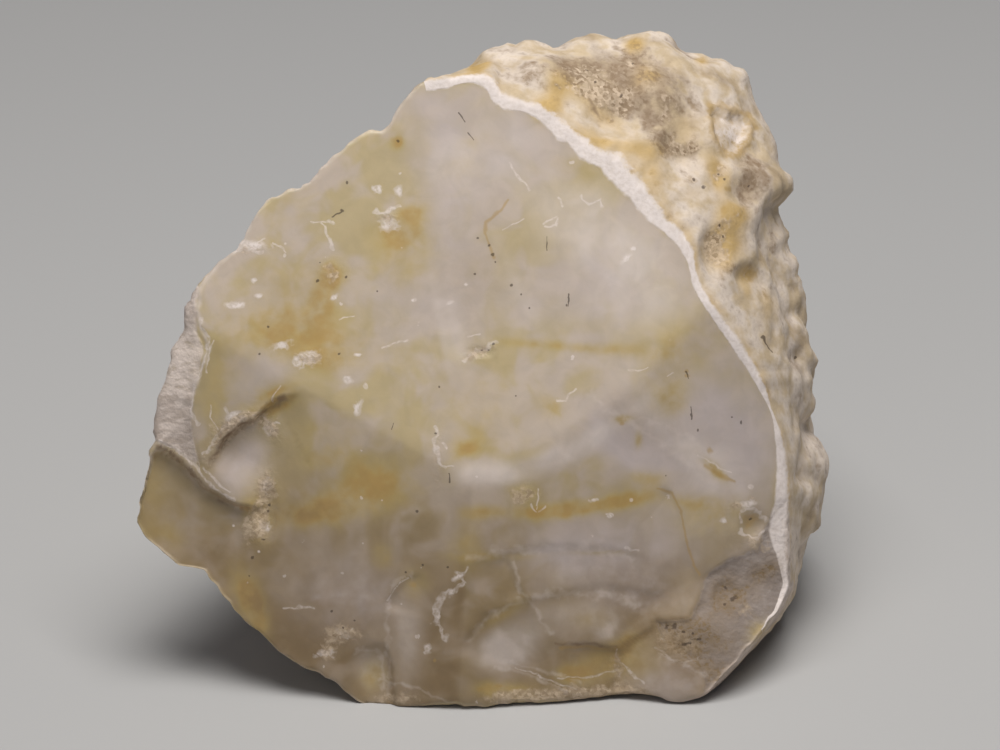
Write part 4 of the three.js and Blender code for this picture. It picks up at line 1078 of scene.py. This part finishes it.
def reliefTree():
    tree = bpy.data.node_groups.new("stone skin relief", "GeometryNodeTree")
    tree.interface.new_socket("Geometry", in_out="INPUT", socket_type="NodeSocketGeometry")
    for name in skinRelief:
        kind = "NodeSocketInt" if name == "Seed" else "NodeSocketFloat"
        tree.interface.new_socket(name, in_out="INPUT", socket_type=kind)
    tree.interface.new_socket("Material", in_out="INPUT", socket_type="NodeSocketMaterial")
    tree.interface.new_socket("Geometry", in_out="OUTPUT", socket_type="NodeSocketGeometry")
    given = tree.nodes.new("NodeGroupInput").outputs
    times, plus, minus, largest = sumsIn(tree)
    between = partial(smoothBetween, tree)

    def held(name):
        node = addNode(tree, "GeometryNodeInputNamedAttribute", {"Name": name}, data_type="FLOAT")
        return node.outputs["Attribute"]

    seedShift = times(given["Seed"], skinDetail["seedStep"])
    place = tree.nodes.new("GeometryNodeInputPosition").outputs[0]
    place = addNode(tree, "ShaderNodeVectorMath", {0: place, 1: seedShift}, operation="ADD").outputs[0]

    def bumps(spacing, shape):
        inputs = {"Vector": place, "Scale": calculate(tree, "DIVIDE", 1.0, given[spacing])}
        if shape == "noise":
            inputs["Detail"] = skinDetail["noiseDetail"]
            return addNode(tree, "ShaderNodeTexNoise", inputs).outputs[0]
        inputs["Smoothness"] = skinDetail["cellSmoothness"]
        node = addNode(tree, "ShaderNodeTexVoronoi", inputs, feature="SMOOTH_F1")
        return minus(1.0, node.outputs["Distance"])

    def lifted(name, shape, share):
        return times(minus(bumps(name + " Spacing", shape), 0.5), given[name + " Height"], share)

    onPatch = between(held("patch"), -0.2, 0.8, 0.0, skinDetail["patchRoughness"])
    rough = largest(held("rind"), onPatch)
    onRim = between(held("onFace"), 0.05, 0.4)
    rim = times(onRim, between(held("onFace"), 0.98, 0.6), between(held("band"), -0.5, -1.5))
    layers = [
        lifted("Knob", "cells", rough),
        lifted("Pimple", "cells", rough),
        lifted("Grain", "noise", between(held("grain"), 0.25, 0.7)),
        lifted("Wave", "noise", minus(1.0, held("rind"))),
        lifted("Chip", "noise", rim),
    ]
    lift = times(plus(*layers), held("free"))
    normal = tree.nodes.new("GeometryNodeInputNormal").outputs[0]
    inputs = {0: normal, "Scale": lift}
    offset = addNode(tree, "ShaderNodeVectorMath", inputs, operation="SCALE").outputs[0]
    inputs = {"Geometry": given["Geometry"], "Offset": offset}
    moved = addNode(tree, "GeometryNodeSetPosition", inputs).outputs[0]
    inputs = {"Geometry": moved, "Name": "lift", "Value": lift}
    settings = {"data_type": "FLOAT", "domain": "POINT"}
    stored = addNode(tree, "GeometryNodeStoreNamedAttribute", inputs, **settings).outputs[0]
    real = addNode(tree, "GeometryNodeRealizeInstances", {"Geometry": stored}).outputs[0]
    inputs = {"Geometry": real, "Material": given["Material"]}
    dressed = addNode(tree, "GeometryNodeSetMaterial", inputs).outputs[0]
    tree.links.new(dressed, tree.nodes.new("NodeGroupOutput").inputs[0])
    return tree


def giveRelief(stone, material):
    tree = reliefTree()
    modifier = stone.modifiers.new("stone skin relief", "NODES")
    modifier.node_group = tree
    values = {**skinRelief, "Material": material}
    for item in tree.interface.items_tree:
        if item.in_out == "INPUT" and item.name in values:
            modifier[item.identifier] = values[item.name]
    evaluated = stone.evaluated_get(bpy.context.evaluated_depsgraph_get())
    mesh = bpy.data.meshes.new_from_object(evaluated)
    stone.modifiers.clear()
    stone.data = mesh
    mesh.shade_smooth()


opalFinish = {
    "clear": (0.555, 0.455, 0.37),  # the opal's own pinkish beige, linear colours
    "olive": (0.505, 0.40, 0.23),
    "mauve": (0.55, 0.465, 0.435),
    "milkAndGlow": (0.72, 0.62, 0.56),
    "yellow": (0.50, 0.37, 0.14),
    "ochre": (0.46, 0.29, 0.09),
    "smokeAndShade": (0.23, 0.155, 0.08),
    "speck": (0.07, 0.045, 0.03),
    "shadow": (0.22, 0.14, 0.08),
    "chalk": (0.86, 0.76, 0.71),
    "chalkShade": (0.77, 0.67, 0.61),
    "patchShade": (0.51, 0.42, 0.365),
    "patchPale": (0.755, 0.64, 0.57),
    # a darker copy of the patch colour, used as painted shade
    "patchPaintedShade": (0.16, 0.13, 0.118),
    "crumb": (0.74, 0.585, 0.43),
    "crumbShade": (0.26, 0.18, 0.11),
    "rind": (0.58, 0.45, 0.295),
    "rindPale": (0.75, 0.64, 0.545),
    # dark grains of the rind, and painted shade in its creases
    "rindCreaseShadeAndGrain": (0.24, 0.16, 0.09),
    "rindSmoke": (0.30, 0.205, 0.125),
    "rindOchre": (0.55, 0.36, 0.12),
    "waxRoughness": 0.38,
    "chalkRoughness": 0.9,
    "rindRoughness": 0.75,
    "glow": 0.3,  # subsurface share of the clear opal
    "glowRadius": (0.002, 0.0015, 0.001),  # metres
    "refraction": 1.45,
    "poreDepth": 0.00018,
    "waxDepth": 0.00003,
    "fineSize": 0.45,  # sizes in mm
    "middlingSize": 1.4,
    "broadSize": 4.2,
    "cloudSize": 9.0,
    "streakSize": 0.6,
    "streakStretch": (0.3, 1.0, 1.0),
    "mottleSize": 2.6,
    "wanderSize": 1.2,
    "fleckSpacing": 2.1,
    "grainSize": 0.38,
    "lineWander": 7,  # in half widths of the line
    "stainWander": 2.5,
    "dotWander": 1.8,
    "lineRagged": 1.6,
    "dotRagged": 2.2,
    "stainRagged": 1.0,
    "stainDotRagged": 0.8,
    "veinChalk": 0.52,  # the most that each kind of mark covers
    "fleckChalk": 0.85,
    "tinyChalk": 0.5,
    "veinOchre": 0.55,
    "bandOchre": 0.6,
    "rindSmokeCover": 0.85,
    "rindPitCover": 0.75,
    "paintedShadeCover": 1.1,
    "crumbCover": 0.75,
    "smokeCover": 0.65,
    "litEdgeCover": 0.3,
    "shadowCover": 0.75,
    "speckCover": 0.75,
}


def colourOf(value):
    return (*value, 1.0)


# Every between() turns one range of a value smoothly into another, from 0 to 1 if it isn't given.
def makeMaterial(finish):
    material = bpy.data.materials.new("milky opal")
    material.use_nodes = True
    tree = material.node_tree
    shader = tree.nodes["Principled BSDF"]
    place = tree.nodes.new("ShaderNodeTexCoord").outputs["Object"]
    times, plus, minus, largest = sumsIn(tree)
    between = partial(smoothBetween, tree)

    def noiseNode(size, detail=3.0, distortion=0.0, at=place):
        inputs = {"Vector": at, "Scale": mmPerMetre / finish[size]}
        inputs.update({"Detail": detail, "Distortion": distortion})
        return addNode(tree, "ShaderNodeTexNoise", inputs).outputs

    def noise(*given, **named):
        return noiseNode(*given, **named)[0]

    def cells(size):
        inputs = {"Vector": place, "Scale": mmPerMetre / finish[size]}
        return addNode(tree, "ShaderNodeTexVoronoi", inputs).outputs

    def held(name, output="Fac"):
        return addNode(tree, "ShaderNodeAttribute", attribute_name=name).outputs[output]

    def mix(share, first, second):
        node = addNode(tree, "ShaderNodeMix", data_type="RGBA")
        for index, value in ((0, share), (6, first), (7, second)):
            if isinstance(value, bpy.types.NodeSocket):
                tree.links.new(value, node.inputs[index])
            else:
                node.inputs[index].default_value = colourOf(finish[value])
        return node.outputs[2]

    def wobble(texture, amount):
        return times(minus(texture, 0.5), amount)

    def split(colour):
        return addNode(tree, "ShaderNodeSeparateXYZ", {0: colour}).outputs[:]

    def isKind(value, kind):
        return calculate(tree, "COMPARE", value, float(kindNumbers[kind]), 0.3)

    def distance(a, b):
        return calculate(tree, "SQRT", plus(times(a, a), times(b, b)))

    fine = noise("fineSize")
    middling = noise("middlingSize")
    broad = noise("broadSize", 2.0, 0.6)
    wander, drift = split(noiseNode("wanderSize", 1.0)[1])[:2]
    inputs = {0: place, 1: finish["streakStretch"]}
    stretched = addNode(tree, "ShaderNodeVectorMath", inputs, operation="MULTIPLY").outputs[0]
    streaks = noise("streakSize", 3.0, 0.4, at=stretched)

    # How far a place lies from the middle of a mark, in half widths, warped and ragged.
    def lineGap(name, raggedness, wandering):
        beside, past, kind = split(held(name, "Vector"))
        beside = plus(beside, wobble(wander, finish[wandering]))
        away = distance(beside, largest(past, 0.0))
        away = times(away, between(middling, 0.35, 0.65, 0.75, 1.5))
        return plus(away, wobble(fine, finish[raggedness])), kind

    def dotGap(name, raggedness):
        across, up, kind = split(held(name, "Vector"))
        across = plus(across, wobble(wander, finish["dotWander"]))
        up = plus(up, wobble(drift, finish["dotWander"]))
        return plus(distance(across, up), wobble(fine, finish[raggedness])), kind

    lines, lineKind = lineGap("vein", "lineRagged", "lineWander")
    dots, dotKind = dotGap("fleck", "dotRagged")
    stains, stainKind = lineGap("stainVein", "stainRagged", "stainWander")
    stainDots, stainDotKind = dotGap("stainFleck", "stainDotRagged")

    # The clear opal, clouded and stained, with painted shade low on the face and a painted glow at the left
    # edge.
    cloudy = plus(times(noise("cloudSize", 2.5, 1.0), 0.5), times(broad, 0.5))
    ragged = between(broad, 0.3, 0.7, 0.7, 1.2)
    colour = mix(between(cloudy, 0.41, 0.59), "clear", "olive")
    # Painted shade in the smoke colour, darker towards the foot of the face and on the lower left fracture.
    colour = mix(times(held("shade"), between(cloudy, 0.36, 0.62, 0.72, 1.22)), colour, "smokeAndShade")
    colour = mix(between(times(held("mauve"), ragged), 0.05, 0.75), colour, "mauve")
    colour = mix(between(times(held("milkAndGlow"), ragged), 0.05, 0.8, 0.0, 0.85), colour, "milkAndGlow")
    stain = largest(
        times(between(stains, 2.2, 0.2), isKind(stainKind, "ochre")),
        times(between(stainDots, 1.4, 0.3), isKind(stainDotKind, "ochre")),
    )
    patchy = plus(times(broad, 0.6), times(middling, 0.4))
    ochre = times(held("ochre"), between(patchy, 0.3, 0.7, 0.6, 1.3))

    # The rind over it.
    lift = held("lift")
    rindTone = mix(between(patchy, 0.38, 0.62), "rind", "rindPale")
    # Painted shade: the rind is darker where its relief sinks, in the creases between the knobs.
    creaseShade = plus(between(lift, 0.00004, -0.0002, 0.0, 0.5), between(fine, 0.5, 0.3, 0.0, 0.12))
    rindTone = mix(creaseShade, rindTone, "rindCreaseShadeAndGrain")
    smoky = plus(held("smokeAndShade"), plus(wobble(middling, 2.0), wobble(broad, 2.2)))
    smoky = between(smoky, 0.2, 1.2)
    rindTone = mix(times(smoky, finish["rindSmokeCover"]), rindTone, "rindSmoke")
    rindTone = mix(between(ochre, 0.1, 1.0, 0.0, 0.85), rindTone, "rindOchre")
    band = plus(held("band"), wobble(middling, 0.5))
    onRind = between(band, 0.85, 1.15)
    bandEdge = between(plus(band, wobble(fine, 0.8)), 0.9, 1.2)
    bandStain = times(bandEdge, between(band, 2.6, 1.0), between(broad, 0.42, 0.6))
    rindTone = mix(times(bandStain, finish["bandOchre"]), rindTone, "rindOchre")
    colour = mix(onRind, colour, rindTone)

    # Chalky patches, with painted shade where the face turns down, then the stains of everything but the
    # rind.
    patchEdge = plus(held("patch"), wobble(middling, 1.0))
    streaky = plus(times(streaks, 0.55), times(broad, 0.45))
    patchTone = mix(between(streaky, 0.4, 0.6), "patchShade", "patchPale")
    # Painted shade: the patches are darker where the face turns down towards its foot.
    patchTone = mix(times(held("shade"), finish["paintedShadeCover"]), patchTone, "patchPaintedShade")
    patchChalk = times(between(patchEdge, -0.1, 0.3), between(streaks, 0.25, 0.5, 0.7, 0.95))
    colour = mix(patchChalk, colour, patchTone)
    offRind = minus(1.0, times(onRind, minus(1.0, patchChalk)))
    ochreTone = mix(between(ochre, 0.4, 1.25), "yellow", "ochre")
    colour = mix(times(between(ochre, 0.0, 1.0, 0.0, 0.9), offRind), colour, ochreTone)
    colour = mix(times(stain, finish["veinOchre"]), colour, "ochre")

    # Chalk: the band, the patches, the veins and the flecks.
    chalkTone = mix(between(fine, 0.3, 0.65), "chalkShade", "chalk")
    bandRagged = plus(band, wobble(fine, 0.6))
    bandChalk = times(between(band, -0.15, 0.1), between(bandRagged, 1.35, 0.85))
    flaky = between(fine, 0.36, 0.56, 0.5, 1.0)
    veinChalk = times(between(lines, 1.5, 0.5), isKind(lineKind, "white"), flaky)
    fleckChalk = times(between(dots, 1.4, 0.5), isKind(dotKind, "white"), flaky)
    flecks = cells("fleckSpacing")
    fleckSize = between(split(flecks["Color"])[0], 0.3, 0.0, 0.0, 0.09)
    fleckSize = times(fleckSize, between(fine, 0.3, 0.6, 0.3, 1.6))
    tiny = times(between(minus(flecks["Distance"], fleckSize), 0.02, -0.02), held("onFace"))
    chalkShare = largest(
        bandChalk,
        times(veinChalk, finish["veinChalk"]),
        times(fleckChalk, finish["fleckChalk"]),
        times(tiny, finish["tinyChalk"]),
    )
    colour = mix(chalkShare, colour, chalkTone)

    # Rough crumbly spots, with cream crumbs and brown between them.
    grainEdge = plus(held("grain"), plus(wobble(middling, 1.3), wobble(fine, 0.5)))
    grain = between(grainEdge, 0.35, 0.7)
    grainLight = plus(times(split(cells("grainSize")["Color"])[0], 0.6), times(fine, 0.5))
    crumbShare = times(grainLight, between(middling, 0.3, 0.6, 0.6, 1.1))
    colour = mix(times(grain, finish["crumbCover"]), colour, mix(crumbShare, "crumbShade", "crumb"))
    # Smoke stains and pits, and the painted shade that the broad smoke zones carry low on the face.
    sooty = times(held("smokeAndShade"), between(middling, 0.3, 0.65, 0.7, 1.2), offRind, finish["smokeCover"])
    pitted = times(between(plus(held("smokeAndShade"), wobble(middling, 1.4)), 0.35, 0.9), patchChalk)
    pitted = times(pitted, between(fine, 0.38, 0.58, 1.0, 0.35))
    colour = mix(largest(sooty, pitted), colour, "smokeAndShade")
    darkGrain = times(smoky, onRind, between(grainLight, 0.75, 0.2))
    colour = mix(times(darkGrain, finish["rindPitCover"]), colour, "rindCreaseShadeAndGrain")

    # Painted highlights along the step edges, painted shade in the cracks, and the dark specks.
    edgeHighlight = times(between(lines, 3.2, 0.0), isKind(lineKind, "pale"))
    edgeHighlight = times(edgeHighlight, between(middling, 0.35, 0.6, 1.0, 0.4))
    colour = mix(times(edgeHighlight, finish["litEdgeCover"]), colour, "milkAndGlow")
    crack = times(between(lines, 2.8, 0.0), isKind(lineKind, "shadow"))
    crack = times(crack, between(middling, 0.35, 0.6, 1.0, 0.35))
    colour = mix(times(crack, finish["shadowCover"]), colour, "shadow")
    speck = largest(
        times(between(lines, 1.3, 0.6), isKind(lineKind, "dark")),
        times(between(dots, 1.2, 0.6), isKind(dotKind, "dark")),
    )
    colour = mix(times(speck, finish["speckCover"]), colour, "speck")
    mottle = between(noise("mottleSize", 4.0, 0.6), 0.3, 0.7, 0.95, 1.05)
    inputs = {0: colour, "Scale": mottle}
    colour = addNode(tree, "ShaderNodeVectorMath", inputs, operation="SCALE").outputs[0]
    tree.links.new(colour, shader.inputs["Base Color"])

    chalky = largest(chalkShare, patchChalk, grain)
    roughness = between(onRind, 0.0, 1.0, finish["waxRoughness"], finish["rindRoughness"])
    roughness = largest(roughness, times(chalky, finish["chalkRoughness"]))
    tree.links.new(plus(roughness, wobble(middling, 0.1)), shader.inputs["Roughness"])
    shader.subsurface_method = "BURLEY"
    shader.inputs["IOR"].default_value = finish["refraction"]
    shader.inputs["Subsurface Radius"].default_value = finish["glowRadius"]
    shader.inputs["Subsurface Scale"].default_value = 1.0
    glow = times(minus(1.0, largest(onRind, chalky)), finish["glow"])
    tree.links.new(glow, shader.inputs["Subsurface Weight"])

    # The bump reads the plain attributes, to stay light.
    bandPores = times(between(held("band"), -0.1, 0.1), 0.3)
    pores = largest(bandPores, between(held("patch"), 0.0, 0.3, 0.0, 0.6), held("grain"))
    height = plus(times(fine, pores, finish["poreDepth"]), times(middling, finish["waxDepth"]))
    bump = addNode(tree, "ShaderNodeBump", {"Height": height, "Distance": 1.0, "Strength": 1.0})
    tree.links.new(bump.outputs["Normal"], shader.inputs["Normal"])
    return material


studio = {
    "floorColour": (0.46, 0.45, 0.44),
    "floorRoughness": 0.7,
    "floorHalf": 4.0,  # metres
    "worldColour": (0.80, 0.86, 1.0),
    "worldStrength": 0.1,
    "lampsAim": (0, 0, 30),  # mm
    # name, place in mm, size in mm, watts, colour
    "lamps": [
        ("overhead", (30, -70, 560), 360, 3.35, (1.0, 0.99, 0.97)),
        ("fill", (-260, -520, 260), 420, 0.3, (0.95, 0.97, 1.0)),
    ],
}


def addStudio():
    scene = bpy.context.scene
    scene.view_settings.view_transform = "Standard"
    world = bpy.data.worlds.new("studio")
    world.use_nodes = True
    background = world.node_tree.nodes["Background"]
    background.inputs["Color"].default_value = colourOf(studio["worldColour"])
    background.inputs["Strength"].default_value = studio["worldStrength"]
    scene.world = world
    for name, place, size, watts, colour in studio["lamps"]:
        data = bpy.data.lights.new(name, "AREA")
        data.size = size * mm
        data.energy = watts
        data.color = colour
        lamp = inScene(name, data)
        lamp.location = np.array(place) * mm
        toward = Vector(np.array(studio["lampsAim"]) * mm - np.array(lamp.location))
        lamp.rotation_euler = toward.to_track_quat("-Z", "Y").to_euler()


def addFloor():
    mesh = bpy.data.meshes.new("floor")
    half = studio["floorHalf"]
    corners = [(-half, -half, 0), (half, -half, 0), (half, half, 0), (-half, half, 0)]
    mesh.from_pydata(corners, [], [(0, 1, 2, 3)])
    material = bpy.data.materials.new("pale floor")
    material.use_nodes = True
    shader = material.node_tree.nodes["Principled BSDF"]
    shader.inputs["Base Color"].default_value = colourOf(studio["floorColour"])
    shader.inputs["Roughness"].default_value = studio["floorRoughness"]
    mesh.materials.append(material)
    inScene("floor", mesh)


addCamera()
addStudio()
addFloor()
print("camera, light and floor are in place")
stone = makeStone()
print("stone is shaped:", len(stone.data.polygons), "triangles")
giveRelief(stone, makeMaterial(opalFinish))
print("stone has its fine relief and material")
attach(stone, "root")
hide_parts("rough_opal")
